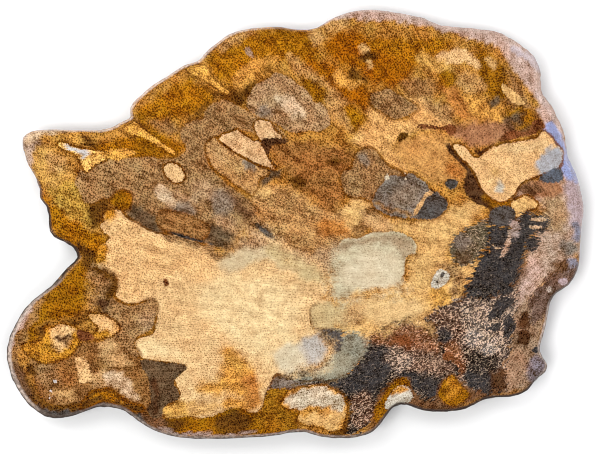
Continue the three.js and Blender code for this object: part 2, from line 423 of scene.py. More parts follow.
            "889,279 900,287 905,273 897,259 886,260", blur=0.5),
        Cloud("sand streak of the right side", Mineral.SHELL,
            "823,279 845,279 848,263 801,200 794,213", blur=1.3),
        Cloud("brown under the char", Mineral.UMBER_DARK,
            "668,194 725,235 779,298 810,289 820,266 801,219 785,124 791,73 684,54 620,60 573,29 541,29 "
            "573,140 605,171", blur=1.5),
        Cloud("lower right ground", Mineral.FAWN,
            "791,190 817,219 851,213 845,155 855,108 836,86 791,73 785,86 794,165", blur=1.3),
        Cloud("lower right sand", Mineral.ROSE_PALE, "788,130 810,140 823,124 817,98 791,79 786,102"),
        Cloud("purple knob", Mineral.LILAC_GREY,
            "826,127 842,132 855,117 851,102 836,87 823,92 821,111", blur=0.8),
        Cloud("caramel field", Mineral.CARAMEL,
            "386,390 405,400 456,393 503,362 567,377 576,362 548,320 475,295 437,314 386,368", blur=1.8),
        Cloud("russet field", Mineral.RUSSET,
            "415,469 481,469 541,457 548,434 532,422 519,377 503,368 465,396 418,447", blur=1.8),
        Cloud("russet deep", Mineral.RUSSET, "497,390 532,403 535,384 522,368 503,365", blur=1.3),
        Cloud("caramel orange", Mineral.RUST,
            "487,343 513,346 535,336 541,323 516,320 491,327", blur=1.3),
        Cloud("caramel light one", Mineral.HONEY, "393,396 408,404 416,393 412,381 396,382"),
        Cloud("caramel light two", Mineral.CARAMEL, "456,368 481,369 500,358 487,349 465,352"),
        Cloud("honey lobe", Mineral.HONEY,
            "541,374 557,381 570,371 567,355 544,330 535,339 529,355", blur=0.8),
        Cloud("russet spot two", Mineral.BISTRE, "503,444 525,444 541,441 532,434 510,434", blur=0.8),
        Cloud("russet spot three", Mineral.BISTRE,
            "450,417 462,415 469,403 457,396 445,401", blur=0.8),
        Cloud("dark under the oval", Mineral.PEAT,
            "400,423 418,428 431,422 424,411 408,404 397,409", blur=0.6),
        Cloud("umber tongue", Mineral.UMBER, "560,355 576,365 586,352 560,320 548,314 548,330"),
        Cloud("brown fan of the middle", Mineral.SAND_GREY,
            "450,304 472,292 519,311 529,298 506,263 484,257 462,263 450,279", blur=1.5),
        Cloud("honey ground", Mineral.HONEY,
            "598,343 652,344 725,374 747,358 699,308 699,285 718,276 737,279 744,270 703,216 662,190 "
            "674,171 662,162 639,178 567,159 494,194 481,209 500,219 541,219 624,238 636,289 649,301 "
            "643,317", blur=1.8),
        Cloud("honey pale lower left", Mineral.HONEY_PALE,
            "535,219 614,222 649,216 658,197 627,184 589,181 535,203", blur=1.5),
        Cloud("apricot in the honey", Mineral.APRICOT_TAN,
            "522,200 544,209 567,206 557,184 535,178 519,187", blur=1.3),
        Cloud("tan halo of the white eye", Mineral.TAUPE,
            "677,276 703,276 717,263 718,241 706,225 699,235 704,257", blur=0.8),
        Cloud("straw by the worm wood", Mineral.STRAW, "665,235 687,241 699,225 693,209 671,209"),
        Cloud("apricot under the slate", Mineral.APRICOT_TAN,
            "563,358 608,343 605,327 582,328 563,339", blur=0.8),
    )),
    Stain("taupe wood", Mineral.TAUPE,
        "120,427 143,439 155,442 177,441 201,446 250,442 272,446 282,457 272,485 288,501 307,506 "
        "313,520 325,531 342,536 358,531 393,511 415,504 434,485 440,472 412,472 377,487 355,487 "
        "315,471 313,450 321,428 339,409 393,365 389,352 412,330 396,327 374,333 361,320 355,304 "
        "336,300 266,323 249,327 238,323 209,336 185,358 193,368 195,381 187,392 174,392 168,381 "
        "152,381 136,373 124,374 108,406", edge=0.40, rind=0.5, clouds=(
        Cloud("tawny top of the wood", Mineral.TAUPE,
            "162,441 225,444 253,434 241,415 177,431 133,412 133,428", blur=1.3),
        Cloud("ash cloud one", Mineral.TAUPE, "165,428 187,431 193,412 181,396 165,400"),
        Cloud("ash cloud two", Mineral.TAUPE, "225,419 250,409 253,393 234,403 219,384 206,393"),
        Cloud("dark cloud of the wood", Mineral.PEAT,
            "190,363 206,368 220,362 242,331 238,322 225,325 211,335 198,347", blur=0.6),
        Cloud("pale cloud of the wood", Mineral.SAND_GREY,
            "260,393 282,384 298,403 313,412 329,396 320,381 301,371 279,368 260,374"),
        Cloud("blue cloud of the wood", Mineral.SLATE_PALE,
            "323,387 342,393 358,381 355,362 339,349 323,358", blur=1.3),
        Cloud("blue cloud low", Mineral.SLATE_PALE, "260,374 288,371 298,358 279,352 257,362"),
        Cloud("sandy patch low right", Mineral.SAND_GREY, "326,355 348,352 361,339 351,327 332,336"),
        Cloud("dark streak end", Mineral.PEAT,
            "304,338 351,330 361,317 355,301 332,301 310,311 301,323", blur=0.8),
        Cloud("dark right", Mineral.UMBER_DARK, "348,396 386,355 377,346 355,377"),
        Cloud("ash cloud three", Mineral.TAUPE, "317,523 339,520 355,511 345,498 326,501"),
    )),
    Stain("tawny oblong", Mineral.UMBER,
        "238,347 242,358 253,360 285,352 302,344 317,335 "
        "313,320 298,317 253,328 241,336", rind=0.8),
    Stain("dark slash", Mineral.GRAPHITE,
        "389,343 399,339 412,330 421,320 423,314 412,317 399,327 391,335", edge=0.19),
    Stain("grey lobe", Mineral.STONE,
        "383,549 393,561 408,568 418,577 431,580 475,549 483,534 497,531 511,507 506,493 491,487 "
        "472,488 457,484 443,487 419,503 402,507 386,515 377,530", edge=0.19, rind=0.3, clouds=(
        Cloud("stone cream haze", Mineral.BONE, "424,542 450,539 469,523 462,507 427,526", blur=1.3),
        Cloud("stone pale left", Mineral.SAND_GREY, "393,558 412,561 418,549 399,539 386,542"),
        Cloud("stone blue one", Mineral.SLATE_PALE,
            "396,526 415,526 419,514 405,509 393,517", blur=0.9),
    )),
    Stain("oval", Mineral.CARAMEL,
        "317,469 329,476 342,463 377,441 396,431 408,428 412,420 396,412 394,400 386,387 374,393 "
        "329,425 320,438 315,453", edge=0.19, rind=0.8, clouds=(
        Cloud("light", Mineral.APRICOT_TAN, "318,466 336,466 351,453 348,438 332,431 321,441"),
        Cloud("blue spot", Mineral.SLATE_PALE, "374,444 389,439 394,428 380,425 370,433", blur=0.6),
    )),
    Stain("cream wedge", Mineral.CREAM_PALE,
        "334,476 358,487 367,485 388,471 399,468 415,438 "
        "424,427 404,431 374,446 339,469", edge=0.13, rind=1.0),
    Stain("cream tablet", Mineral.CREAM_PALE,
        "389,499 397,504 412,501 426,484 434,477 "
        "431,472 405,472 396,479 391,488", edge=0.13, rind=0.9),
    Stain("seam by the wedge", Mineral.EBONY_BROWN,
        "402,471 415,476 440,474 443,469 418,465 415,453 "
        "419,441 431,428 423,430 412,442", edge=0.26),
    Stain("cream coin", Mineral.CREAM,
        "247,430 255,436 264,434 274,427 279,417 "
        "276,408 266,404 257,411 249,420", edge=0.13, rind=1.0),
    Stain("cream crumb", Mineral.CREAM, "238,436 242,439 245,434 241,431", edge=0.13, rind=0.8),
    Stain("white fleck", Mineral.BONE,
        "230,396 241,401 252,396 268,371 257,366 234,384", edge=0.64),
    Stain("amber hook", Mineral.BRONZE,
        "163,376 168,384 176,390 185,392 195,385 "
        "196,376 193,366 187,362 168,368", edge=0.26, rind=0.8),
    Stain("first vein", Mineral.GOLD,
        "282,585 306,593 315,588 323,571 350,549 345,545 313,568 301,572", rind=0.5),
    Stain("second vein", Mineral.GOLD,
        "184,487 193,498 201,501 219,485 264,453 257,452 219,474", rind=0.5),
    Stain("tip streak", Mineral.GOLD_PALE,
        "79,469 89,469 98,463 135,455 147,455 158,450 152,444 155,441 143,436 125,423 119,430 108,447 "
        "84,461", rind=0.9, clouds=(
        Cloud("streak core", Mineral.FROST_WHITE,
            "90,461 98,465 124,452 117,447 108,453 98,455", blur=0.3),
    )),
    Stain("tip band light", Mineral.GOLD,
        "147,453 184,458 204,453 193,446 174,441 158,444", edge=0.35),
    Stain("pink spot", Mineral.ROSE_PALE,
        "377,621 385,618 388,604 380,606 375,615", edge=0.22),
    Stain("corn patch edge", Mineral.HONEY,
        "783,564 793,561 820,534 812,530 801,534 791,544 785,553", edge=0.14),
    Stain("grey oval", Mineral.TAUPE,
        "575,544 582,550 595,553 606,553 646,528 646,520 "
        "620,507 608,509 584,523 576,533", rind=0.6, clouds=(
        Cloud("ash", Mineral.TAUPE, "614,536 633,531 639,522 624,514 611,523"),
    )),
    Stain("brown leaf", Mineral.TAUPE,
        "552,452 562,458 573,460 584,453 603,431 616,425 627,415 598,403 586,390 576,376 560,382 "
        "541,384 532,393 529,409 530,423 544,428", edge=0.19, rind=0.8, clouds=(
        Cloud("blue spot", Mineral.SLATE_PALE, "557,452 570,452 573,439 562,434 554,442", blur=0.8),
    )),
    Stain("slate leaf", Mineral.SLATE,
        "595,406 601,414 612,417 625,415 639,420 663,403 669,393 679,390 688,384 696,373 693,362 "
        "684,352 668,347 611,352 595,358 576,374", rind=0.6, clouds=(
        Cloud("light", Mineral.SLATE_PALE, "608,393 633,403 652,396 646,377 627,368 608,371"),
        Cloud("rim", Mineral.UMBER, "579,371 598,362 639,352 639,358 598,368 586,377", blur=0.6),
    )),
    Stain("black leaf", Mineral.GRAPHITE,
        "677,390 688,382 696,373 693,362 684,352 668,347 "
        "652,349 649,358 655,371 665,382"),
    Stain("leaf stem", Mineral.APRICOT_TAN,
        "666,392 673,390 663,382 649,358 641,355 654,379", edge=0.13),
    Stain("slate slit one", Mineral.FROST_CREAM,
        "597,414 601,419 603,412 598,409", edge=0.10),
    Stain("slate slit two", Mineral.FROST_CREAM,
        "627,425 630,425 631,411 628,411", edge=0.08),
    Stain("peat bead", Mineral.GRAPHITE,
        "693,406 701,411 711,409 712,400 704,395 695,398", rind=0.2),
    Stain("red line one", Mineral.MAHOGANY,
        "649,495 662,499 690,495 699,499 709,495 "
        "709,484 699,479 693,488 660,492", edge=0.22),
    Stain("red line two", Mineral.BISTRE,
        "614,477 624,484 635,482 630,476 620,471", edge=0.22),
    Stain("red line three", Mineral.MAHOGANY,
        "782,471 832,482 845,490 856,490 851,501 842,507 832,503 "
        "828,492 813,487 794,487 785,480", edge=0.29),
    Stain("umber wedge", Mineral.EBONY_BROWN,
        "695,468 704,463 733,431 737,419 761,387 775,377 791,379 798,373 791,363 775,363 763,360 "
        "753,368 741,373 728,384 722,400 726,415 725,428 699,452", edge=0.26, clouds=(
        Cloud("amber foot", Mineral.BRONZE, "756,384 794,377 798,368 775,366 760,371"),
    )),
    Stain("umber cap", Mineral.EBONY_BROWN,
        "737,465 750,457 774,468 753,446 744,450", edge=0.42),
    Stain("peach field", Mineral.PEACH,
        "706,463 715,466 726,460 742,444 780,466 834,474 843,482 853,487 878,457 877,438 867,425 "
        "851,422 821,409 810,400 796,381 783,376 771,379 "
        "760,388 750,401 734,431 714,450", edge=0.14, rind=0.9, clouds=(
        Cloud("pale finger", Mineral.CREAM, "707,463 720,461 734,452 741,441 728,441", blur=0.8),
        Cloud("upper", Mineral.CREAM, "794,466 826,469 851,479 861,466 836,457 804,453"),
        Cloud("amber spot", Mineral.HONEY, "763,428 779,428 782,419 768,415", blur=0.8),
        Cloud("white eye", Mineral.WHITE_GREY, "774,403 783,406 790,398 783,388 772,392", blur=0.4),
        Cloud("frost corner", Mineral.FROST,
            "851,457 867,463 880,453 880,434 855,420 842,423 839,436", blur=0.6),
    )),
    Stain("iron corner", Mineral.IRON,
        "843,415 869,430 877,425 883,414 877,406 861,406 847,408", edge=0.38),
    Stain("amber tooth", Mineral.HONEY,
        "798,373 817,384 824,384 840,371 823,363 810,350 805,349", edge=0.19, rind=1.0),
    Stain("drab patch", Mineral.DRAB_WORM,
        "703,314 711,323 752,347 761,343 761,311 744,285 "
        "731,276 715,274 704,285 699,300", edge=0.32, tatter=0.8, clouds=(
        Cloud("patch grey", Mineral.SLATE,
            "703,317 718,323 731,317 728,301 712,298 703,304", blur=0.8),
        Cloud("patch foot", Mineral.PEAT, "706,295 725,298 734,289 725,276 712,276"),
    )),
    Stain("worm wood", Mineral.WORM,
        "665,195 722,224 766,224 807,244 810,232 801,194 802,175 794,136 786,117 788,83 775,75 753,73 "
        "731,79 685,114 677,133 684,149 677,165 680,181", edge=0.32, tatter=1.0, clouds=(
        Cloud("left", Mineral.WORM_BROWN,
            "668,197 693,206 712,200 722,175 718,149 709,136 690,140 677,184", blur=1.3),
        Cloud("pale", Mineral.WORM_PALE, "725,213 756,213 804,235 779,136 741,143 718,184", blur=1.5),
        Cloud("white", Mineral.WORM_WHITE, "725,165 750,168 772,159 782,146 763,136 741,140 725,149"),
        Cloud("dark left", Mineral.CHAR, "680,171 699,171 703,148 687,146"),
        Cloud("russet", Mineral.RUSSET_WORM, "684,146 712,149 725,108 709,98 693,108"),
        Cloud("dark heart", Mineral.CHAR_WORM, "731,133 763,133 775,121 763,76 737,79 728,95"),
        Cloud("dark foot", Mineral.CHAR, "722,102 763,105 785,92 779,71 737,71"),
        Cloud("brown foot", Mineral.EBONY_BROWN, "763,105 785,111 788,83 769,79", blur=0.8),
    )),
    Stain("char cap", Mineral.GRAPHITE,
        "761,352 766,363 779,369 794,368 804,357 805,344 798,336 763,338", edge=0.19),
    Stain("char body", Mineral.CHAR,
        "763,339 779,336 798,339 812,354 826,357 853,352 859,343 856,331 847,323 832,322 821,301 "
        "802,246 763,222 728,225 722,235 725,244 739,268 750,295 760,304", edge=0.19, tatter=1.0),
    Stain("char stroke one", Mineral.BONE,
        "826,347 842,350 855,347 842,344"),
    Stain("char stroke two", Mineral.BONE,
        "823,335 839,338 851,335 836,331"),
    Stain("char scratch", Mineral.BONE,
        "763,308 774,304 785,303 783,300 771,301"),
    Stain("char streak", Mineral.BUFF,
        "801,343 809,344 798,320 793,300 786,289 780,289", edge=0.19, tatter=0.5),
    Stain("char streak top", Mineral.ROSE_TAN,
        "796,343 807,346 812,333 807,317 799,320", edge=0.22, tatter=0.6),
    Stain("char spur", Mineral.CHAR,
        "817,323 836,320 843,309 834,297 820,300", edge=0.32, tatter=0.7),
    Stain("char neck", Mineral.CHAR,
        "774,219 786,225 801,222 802,214 783,198 777,189 764,189 760,195", edge=0.19, tatter=0.6),
    Stain("char comma", Mineral.CHAR,
        "786,190 794,195 801,190 801,178 796,165 790,160 785,168", tatter=0.5),
    Stain("char dash", Mineral.CHAR,
        "755,176 766,181 780,181 777,173 763,170", tatter=0.5),
    Stain("char wedge", Mineral.CHAR,
        "775,233 788,239 802,241 799,232 785,227 775,227", tatter=0.4),
    Stain("char band", Mineral.CHAR_WORM,
        "412,79 418,95 506,91 525,98 554,124 573,155 586,165 620,179 643,181 662,175 674,162 684,146 "
        "712,114 715,98 699,98 688,86 680,70 668,64 652,64 630,89 611,91 598,83 586,67 579,45 570,26 "
        "554,10 538,11 541,38 540,60 511,84 456,84 437,76 424,75", edge=0.26, tatter=0.8, melts=(
        "576,194 684,197 684,159 586,152",), clouds=(
        Cloud("slate left", Mineral.SLATE, "415,86 424,98 481,95 437,79"),
        Cloud("black one", Mineral.CHAR,
            "510,89 554,117 570,140 589,146 608,140 608,114 598,92 576,73 532,73", blur=1.3),
        Cloud("red top", Mineral.RUSSET_WORM,
            "576,162 605,175 636,179 658,175 684,143 668,136 592,149", blur=1.3),
        Cloud("red heart", Mineral.MAHOGANY, "608,165 630,168 639,155 627,146 611,149", blur=0.8),
        Cloud("rose", Mineral.WORM_BROWN,
            "601,140 633,143 668,136 693,127 703,111 684,102 608,111", blur=1.3),
        Cloud("rose light", Mineral.WORM_PALE, "601,140 627,140 636,127 633,111 614,108 601,121"),
        Cloud("black two", Mineral.CHAR, "617,105 677,98 684,73 665,67", blur=1.3),
        Cloud("column", Mineral.WORM_BROWN, "544,67 570,73 579,54 570,29 551,16 541,41"),
    )),
    Stain("red spot", Mineral.MAHOGANY,
        "687,133 696,136 706,130 699,122 688,125", edge=0.32),
    Stain("sage cloud", Mineral.SAGE_GREY,
        "525,159 541,167 560,162 567,148 560,130 "
        "535,102 513,95 446,98 500,114", edge=0.72, tatter=0.6, clouds=(
        Cloud("cloud mist", Mineral.SAGE_MIST, "510,136 535,136 541,117 529,102 503,98 497,114"),
        Cloud("cloud milk", Mineral.SAGE_PALE, "484,105 505,133 514,127 513,114 500,102"),
    )),
    Stain("smoke wedge", Mineral.GRAPHITE,
        "484,176 497,178 516,175 529,168 522,136 503,149 494,159", edge=0.22, tatter=0.5),
    Stain("wedge pale top", Mineral.TAN_GREY,
        "476,200 480,213 491,219 510,217 529,211 535,197 "
        "529,181 510,176 491,176 481,179", edge=0.22, rind=0.3, melts=(
        "519,225 551,219 551,171 516,171",)),
    Stain("heartwood", Mineral.CREAM,
        "147,336 154,344 152,352 158,358 170,362 181,358 188,349 231,325 266,322 288,316 326,300 "
        "342,298 377,327 396,327 412,314 431,308 446,295 469,282 491,276 510,263 513,238 510,224 "
        "491,217 478,209 476,197 480,182 487,170 497,162 505,149 508,136 500,124 491,114 472,108 "
        "450,103 431,106 423,103 410,79 402,51 393,43 380,43 370,49 358,51 345,45 332,35 313,33 294,37 "
        "260,32 247,40 245,48 253,54 264,57 274,67 272,79 266,91 269,98 279,106 283,114 279,119 217,127 "
        "209,135 204,146 204,155 212,160 225,163 234,171 238,206 231,219 219,219 206,214 190,214 "
        "179,219 171,228 176,241 173,255 162,263 147,268 "
        "141,282 144,300 158,312 160,320", edge=0.14, rind=0.6, melts=(
        "323,279 313,320 339,343 383,352 431,339 478,314 533,279 533,219 497,213 484,232 415,279 "
        "380,295 355,279",
        "491,190 525,190 532,111 478,92 437,102 456,121 481,136",), clouds=(
        Cloud("pale middle", Mineral.BISCUIT,
            "304,235 351,257 446,241 462,219 446,130 415,121 317,187", blur=2.6),
        Cloud("milk", Mineral.MILK, "424,136 446,152 469,143 478,124 462,108 431,108", blur=1.5),
        Cloud("blush left", Mineral.PEACH,
            "257,314 326,289 323,263 298,251 272,263 253,289", blur=2.0),
        Cloud("smoke edge", Mineral.TAUPE, "317,308 351,317 372,311 374,298 355,285 331,282 317,292"),
        Cloud("sage haze", Mineral.SAGE,
            "339,279 383,314 402,311 456,279 450,263 402,285 361,263 345,266", blur=1.5),
        Cloud("tan haze", Mineral.TAN_GREY,
            "412,308 437,301 510,257 497,247 472,251 412,289", blur=1.5),
        Cloud("wheat haze", Mineral.SAND_GREY, "383,327 402,323 408,308 393,298 367,308", blur=1.5),
        Cloud("toffee", Mineral.CORN_AMBER,
            "339,143 361,140 393,105 400,64 393,48 380,48 374,64 342,73 "
            "326,67 298,83 329,95 339,108", blur=1.5),
        Cloud("toffee deep", Mineral.RUST, "377,102 393,98 399,76 396,54 385,48 374,86"),
        Cloud("tongue pale", Mineral.BISCUIT,
            "206,149 222,159 272,140 266,127 234,130 215,133", blur=1.3),
        Cloud("foot", Mineral.STRAW, "241,45 250,60 269,64 313,48 310,38 253,32"),
        Cloud("foot gold", Mineral.CORN_AMBER, "339,60 355,67 377,60 380,45 342,48"),
        Cloud("foot amber", Mineral.HONEY, "288,54 326,60 339,51 317,41 294,41"),
        Cloud("frost", Mineral.FROST_GREY,
            "462,152 475,162 491,162 502,149 502,130 487,117 472,121", blur=1.3),
        Cloud("left", Mineral.PEACH,
            "152,339 171,358 225,323 266,311 288,289 272,263 241,251 209,219 181,219 143,298", blur=1.5),
        Cloud("brown brow", Mineral.TAUPE, "250,327 313,311 310,303 266,308 250,314", blur=0.6),
        Cloud("amber brow", Mineral.GOLD_AMBER, "133,317 149,319 158,304 158,289 151,276 136,278"),
        Cloud("amber tip", Mineral.GOLD_AMBER, "152,366 168,366 173,355 163,346 149,349", blur=0.8),
    )),
    Stain("plum spot", Mineral.MAHOGANY,
        "247,254 252,255 255,246 252,239 247,244", edge=0.19),
    Stain("purple streak", Mineral.CHAR,
        "253,328 323,309 310,309 288,314", edge=0.26),
    Stain("sage tablet", Mineral.SAGE_PALE,
        "516,289 522,304 533,316 551,316 565,323 586,327 608,327 627,323 639,316 646,304 641,293 "
        "631,287 625,249 620,235 581,233 560,230 543,222 "
        "525,220 514,227 511,244 511,266", edge=0.22, rind=0.2, melts=(
        "497,289 532,289 535,238 652,251 652,203 497,203",), clouds=(
        Cloud("shade", Mineral.SAGE_SHADE,
            "525,311 605,322 633,317 643,301 636,279 624,285 611,304 589,309 541,304 525,289"),
        Cloud("milk", Mineral.MILK,
            "551,289 582,298 611,292 620,270 614,235 576,228 529,251 532,273", blur=2.3),
        Cloud("foot", Mineral.HONEY_PALE, "541,228 563,235 620,238 608,230 551,222"),
    )),
    Stain("white eye", Mineral.WHITE_GREY,
        "679,266 688,268 698,262 698,252 684,238 674,238 669,246", rind=0.3),
    Stain("eye dot one", Mineral.GRAPHITE,
        "685,262 692,262 688,255 685,255", edge=0.13),
    Stain("eye dot two", Mineral.GRAPHITE,
        "676,251 680,251 680,246 676,246", edge=0.13),
    Stain("grey band", Mineral.TAUPE,
        "143,270 158,265 170,259 174,247 173,235 168,224 181,214 193,211 209,213 225,220 236,216 "
        "236,200 233,184 226,171 204,159 201,146 211,133 196,127 "
        "165,149 152,165 146,184 133,251", edge=0.19, rind=0.6, melts=(
        "120,279 152,279 152,219 165,155 139,146 120,219",), clouds=(
        Cloud("ash", Mineral.TAUPE, "136,247 155,257 165,244 158,228 143,222 133,232", blur=1.3),
        Cloud("dark edge", Mineral.BISTRE,
            "127,273 152,270 171,262 177,247 174,232 166,219 155,222 162,238 155,254 139,260", blur=0.8),
        Cloud("dark foot", Mineral.EBONY_BROWN, "139,219 155,222 162,209 152,200 139,203", blur=0.6),
        Cloud("pale right", Mineral.SAND_GREY, "212,197 233,200 233,175 215,171"),
    )),
    Stain("foot", Mineral.SADDLE,
        "41,130 54,122 67,121 98,132 117,152 133,151 152,154 165,163 187,140 200,130 212,127 220,114 "
        "238,54 234,38 219,41 177,75 158,81 139,75 124,60 101,54 76,56 "
        "60,64 51,79 45,98 35,111", edge=0.32, rind=0.3, clouds=(
        Cloud("dark left", Mineral.BISTRE, "22,117 35,121 46,108 52,60 43,54 32,73", blur=0.6),
        Cloud("rust", Mineral.RUSSET, "86,121 105,117 111,98 105,79 89,86 79,105", blur=1.5),
        Cloud("tan right", Mineral.APRICOT_TAN,
            "146,152 174,152 196,121 174,117 152,127 143,140", blur=1.3),
        Cloud("sand low", Mineral.CARAMEL, "73,73 92,79 111,73 108,57 86,57"),
        Cloud("shade", Mineral.TAUPE, "51,114 76,114 83,92 64,86 51,95", blur=1.3),
        Cloud("blush", Mineral.APRICOT_TAN,
            "136,105 162,108 184,98 212,64 200,62 181,78 158,86 139,86"),
        Cloud("cream end", Mineral.BONE,
            "152,103 168,108 182,102 195,92 198,79 207,71 212,60 200,62 174,83 158,86", blur=0.6),
        Cloud("brown right", Mineral.UMBER, "209,117 219,102 222,79 215,60 228,51 222,108"),
        Cloud("dark base", Mineral.BISTRE,
            "98,60 120,57 154,65 168,62 182,56 238,41 238,29 174,45 117,38 95,43", blur=0.5),
        Cloud("mauve rim", Mineral.GRAPHITE,
            "32,57 79,45 101,45 124,48 143,56 165,56 203,43 238,22 228,16 200,32 165,46 92,29 51,35 "
            "29,48", blur=0.4),
    )),
    Stain("foot pale tab", Mineral.PEACH,
        "111,121 119,127 128,124 135,94 124,89 116,91", edge=0.38, tatter=0.3),
    Stain("foot speck one", Mineral.FROST_WHITE,
        "68,78 71,79 73,75 70,73", edge=0.10),
    Stain("foot speck two", Mineral.FROST_WHITE,
        "67,67 71,71 73,68 70,64", edge=0.10),
    Stain("foot speck three", Mineral.FROST_WHITE,
        "76,94 79,95 81,91 78,89", edge=0.10),
    Stain("dark wedge low", Mineral.PEAT,
        "214,127 249,121 282,117 279,108 269,98 264,89 271,78 272,67 263,59 252,54 247,46 244,35 231,33 "
        "222,48 228,64 222,102 215,114", edge=0.19, clouds=(
        Cloud("seam", Mineral.EBONY_BROWN, "228,95 238,95 241,73 238,45 230,41 231,67", blur=0.6),
    )),
    Stain("amber island", Mineral.GOLD_AMBER,
        "26,148 54,154 64,168 62,176 67,178 73,175 79,179 89,182 108,175 114,168 114,151 108,144 "
        "103,135 95,129 70,122 57,122 48,125", rind=0.9, clouds=(
        Cloud("cream", Mineral.PEACH, "70,165 79,178 92,182 105,176 108,167 89,143 78,140", blur=0.6),
        Cloud("plum", Mineral.EBONY_BROWN, "79,160 86,163 103,159 86,152 79,155", blur=0.3),
    )),
    Stain("cream island", Mineral.APRICOT,
        "130,197 143,197 155,194 166,187 176,178 174,168 151,160 "
        "139,160 141,170 147,176 132,190", rind=0.9, clouds=(
        Cloud("island amber", Mineral.GOLD_AMBER,
            "136,171 146,176 158,170 165,162 149,157 136,160", blur=0.5),
        Cloud("island light", Mineral.PEACH, "139,192 158,189 170,179 162,171 146,178", blur=0.5),
    )),
    Stain("rust neck", Mineral.MAHOGANY,
        "111,170 122,171 135,165 138,159 125,154 114,159", edge=0.26),
    Stain("amber arch", Mineral.BISTRE,
        "122,59 136,73 154,79 163,78 187,60 215,51 212,46 195,48 168,60 "
        "154,64 141,59 130,51 120,49", edge=0.19, rind=1.0, clouds=(
        Cloud("arch heart", Mineral.AMBER, "132,64 143,73 157,75 193,56 152,67", blur=0.5),
    )),
    Stain("olive belly", Mineral.BRONZE,
        "241,35 263,33 285,37 310,33 361,49 393,40 404,51 408,67 416,79 453,76 437,57 462,41 456,32 "
        "459,19 446,10 402,6 298,6 257,11 238,21", edge=0.26, rind=0.2, clouds=(
        Cloud("mound", Mineral.BISTRE,
            "329,26 339,38 364,49 386,32 383,19 364,11 345,11 331,18", blur=0.9),
        Cloud("dark left", Mineral.BISTRE, "241,33 269,32 279,22 266,13 247,18"),
        Cloud("dark corner", Mineral.UMBER_DARK,
            "219,45 238,41 250,32 247,19 228,22 215,32", blur=0.8),
        Cloud("amber", Mineral.OLIVE_GOLD, "396,41 418,79 450,76 440,57 459,29 443,16 405,19"),
        Cloud("rim", Mineral.ROSE_TAN,
            "225,27 241,19 272,13 317,10 355,10 383,14 383,8 317,-3 269,0 234,6", blur=0.3),
    )),
    Stain("pale raft", Mineral.CORN_AMBER,
        "435,57 451,79 499,84 508,81 527,70 533,59 535,46 529,21 519,13 508,14 497,19 462,26 457,33 "
        "464,43 454,48 443,49", rind=0.8, clouds=(
        Cloud("cream foot", Mineral.HONEY, "465,35 529,45 527,26 516,16 472,26", blur=0.8),
        Cloud("white top", Mineral.FROST_CREAM,
            "438,57 448,73 461,79 503,83 527,67 532,52 522,46 491,52 475,52 459,49 446,51", blur=0.4),
    )),
    Stain("amber tooth low", Mineral.BRONZE,
        "680,73 685,86 695,98 703,100 712,92 728,71 "
        "722,62 711,54 696,54 685,62", edge=0.19, rind=0.5, clouds=(
        Cloud("gold", Mineral.GOLD_AMBER, "693,92 706,95 717,83 715,70 703,64 692,70", blur=0.8),
    )),
    Stain("amber halo low", Mineral.BRONZE,
        "579,41 586,60 608,89 624,97 633,92 630,79 586,29", edge=0.32, rind=0.3),
    Stain("snow patch", Mineral.WHITE_GREY,
        "595,51 598,62 616,83 627,84 635,78 641,67 631,59 601,49", edge=0.26, rind=0.3, clouds=(
        Cloud("amber", Mineral.CORN_AMBER, "609,79 627,86 633,79 614,70 606,70", blur=0.4),
    )),
    Stain("olive drop one", Mineral.EBONY_BROWN,
        "812,200 824,200 828,184 821,173 810,178", edge=0.48),
    Stain("olive drop two", Mineral.EBONY_BROWN,
        "807,171 821,173 828,160 820,149 807,152", edge=0.48),
    Stain("umber shore", Mineral.CLOVE,
        "826,222 848,249 905,273 905,254 836,184 826,200", edge=0.51, tatter=0.7),
    Stain("shore speck one", Mineral.LAVENDER,
        "872,251 883,254 888,249 878,243"),
    Stain("shore speck two", Mineral.SNOW,
        "850,238 858,241 862,233 855,230", edge=0.19),
    Stain("shore dark hole", Mineral.CHAR,
        "829,143 839,146 839,136 831,138", edge=0.19),
)


# ------------------------------ Curves and distances ------------------------------


def smoothstep(value: np.ndarray) -> np.ndarray:
    """Eases values from 0 to 1."""
    share = np.clip(value, 0, 1)
    return share * share * (3 - 2 * share)


def catmull_rom(before: np.ndarray, start: np.ndarray, end: np.ndarray, beyond: np.ndarray,
                share: np.ndarray | float) -> np.ndarray:
    """Goes smoothly from one point to the next.

    Args:
        before: The point before the stretch.
        start: Where the stretch starts.
        end: Where it ends.
        beyond: The point after it.
        share: How far along the stretch, 0 to 1.

    Returns:
        The point there.
    """
    bend = 2 * before - 5 * start + 4 * end - beyond
    twist = 3 * start - before - 3 * end + beyond
    return start + 0.5 * share * (end - before + share * (bend + share * twist))


def smooth_loop(points: np.ndarray, pieces: int) -> np.ndarray:
    """Rounds a closed outline with a curve through its points.

    Args:
        points: The outline's points, one row each.
        pieces: Straight pieces between two of its points.

    Returns:
        The finer outline.
    """
    before, end, beyond = np.roll(points, 1, 0), np.roll(points, -1, 0), np.roll(points, -2, 0)
    steps = [catmull_rom(before, points, end, beyond, step / pieces) for step in range(pieces)]
    return np.stack(steps, axis=1).reshape(-1, points.shape[1])


def depth_inside(places: np.ndarray, outline: np.ndarray) -> np.ndarray:
    """Measures how deep places lie inside a closed outline.

    Args:
        places: One place per row.
        outline: The outline's corners.

    Returns:
        The distance of each place to the outline, negative outside it.
    """
    nearest = np.full(len(places), np.inf)
    inside = np.zeros(len(places), bool)
    for start, end in zip(outline, np.roll(outline, -1, axis=0)):
        side = end - start
        away = places - start
        along = np.clip(away @ side / max(side @ side, 1e-9), 0, 1)
        nearest = np.minimum(nearest, np.hypot(*(away - along[:, None] * side).T))
        if start[1] != end[1]:
            crossed = (start[1] > places[:, 1]) != (end[1] > places[:, 1])
            inside ^= crossed & (away[:, 0] < side[0] * away[:, 1] / side[1])
    return np.where(inside, nearest, -nearest)


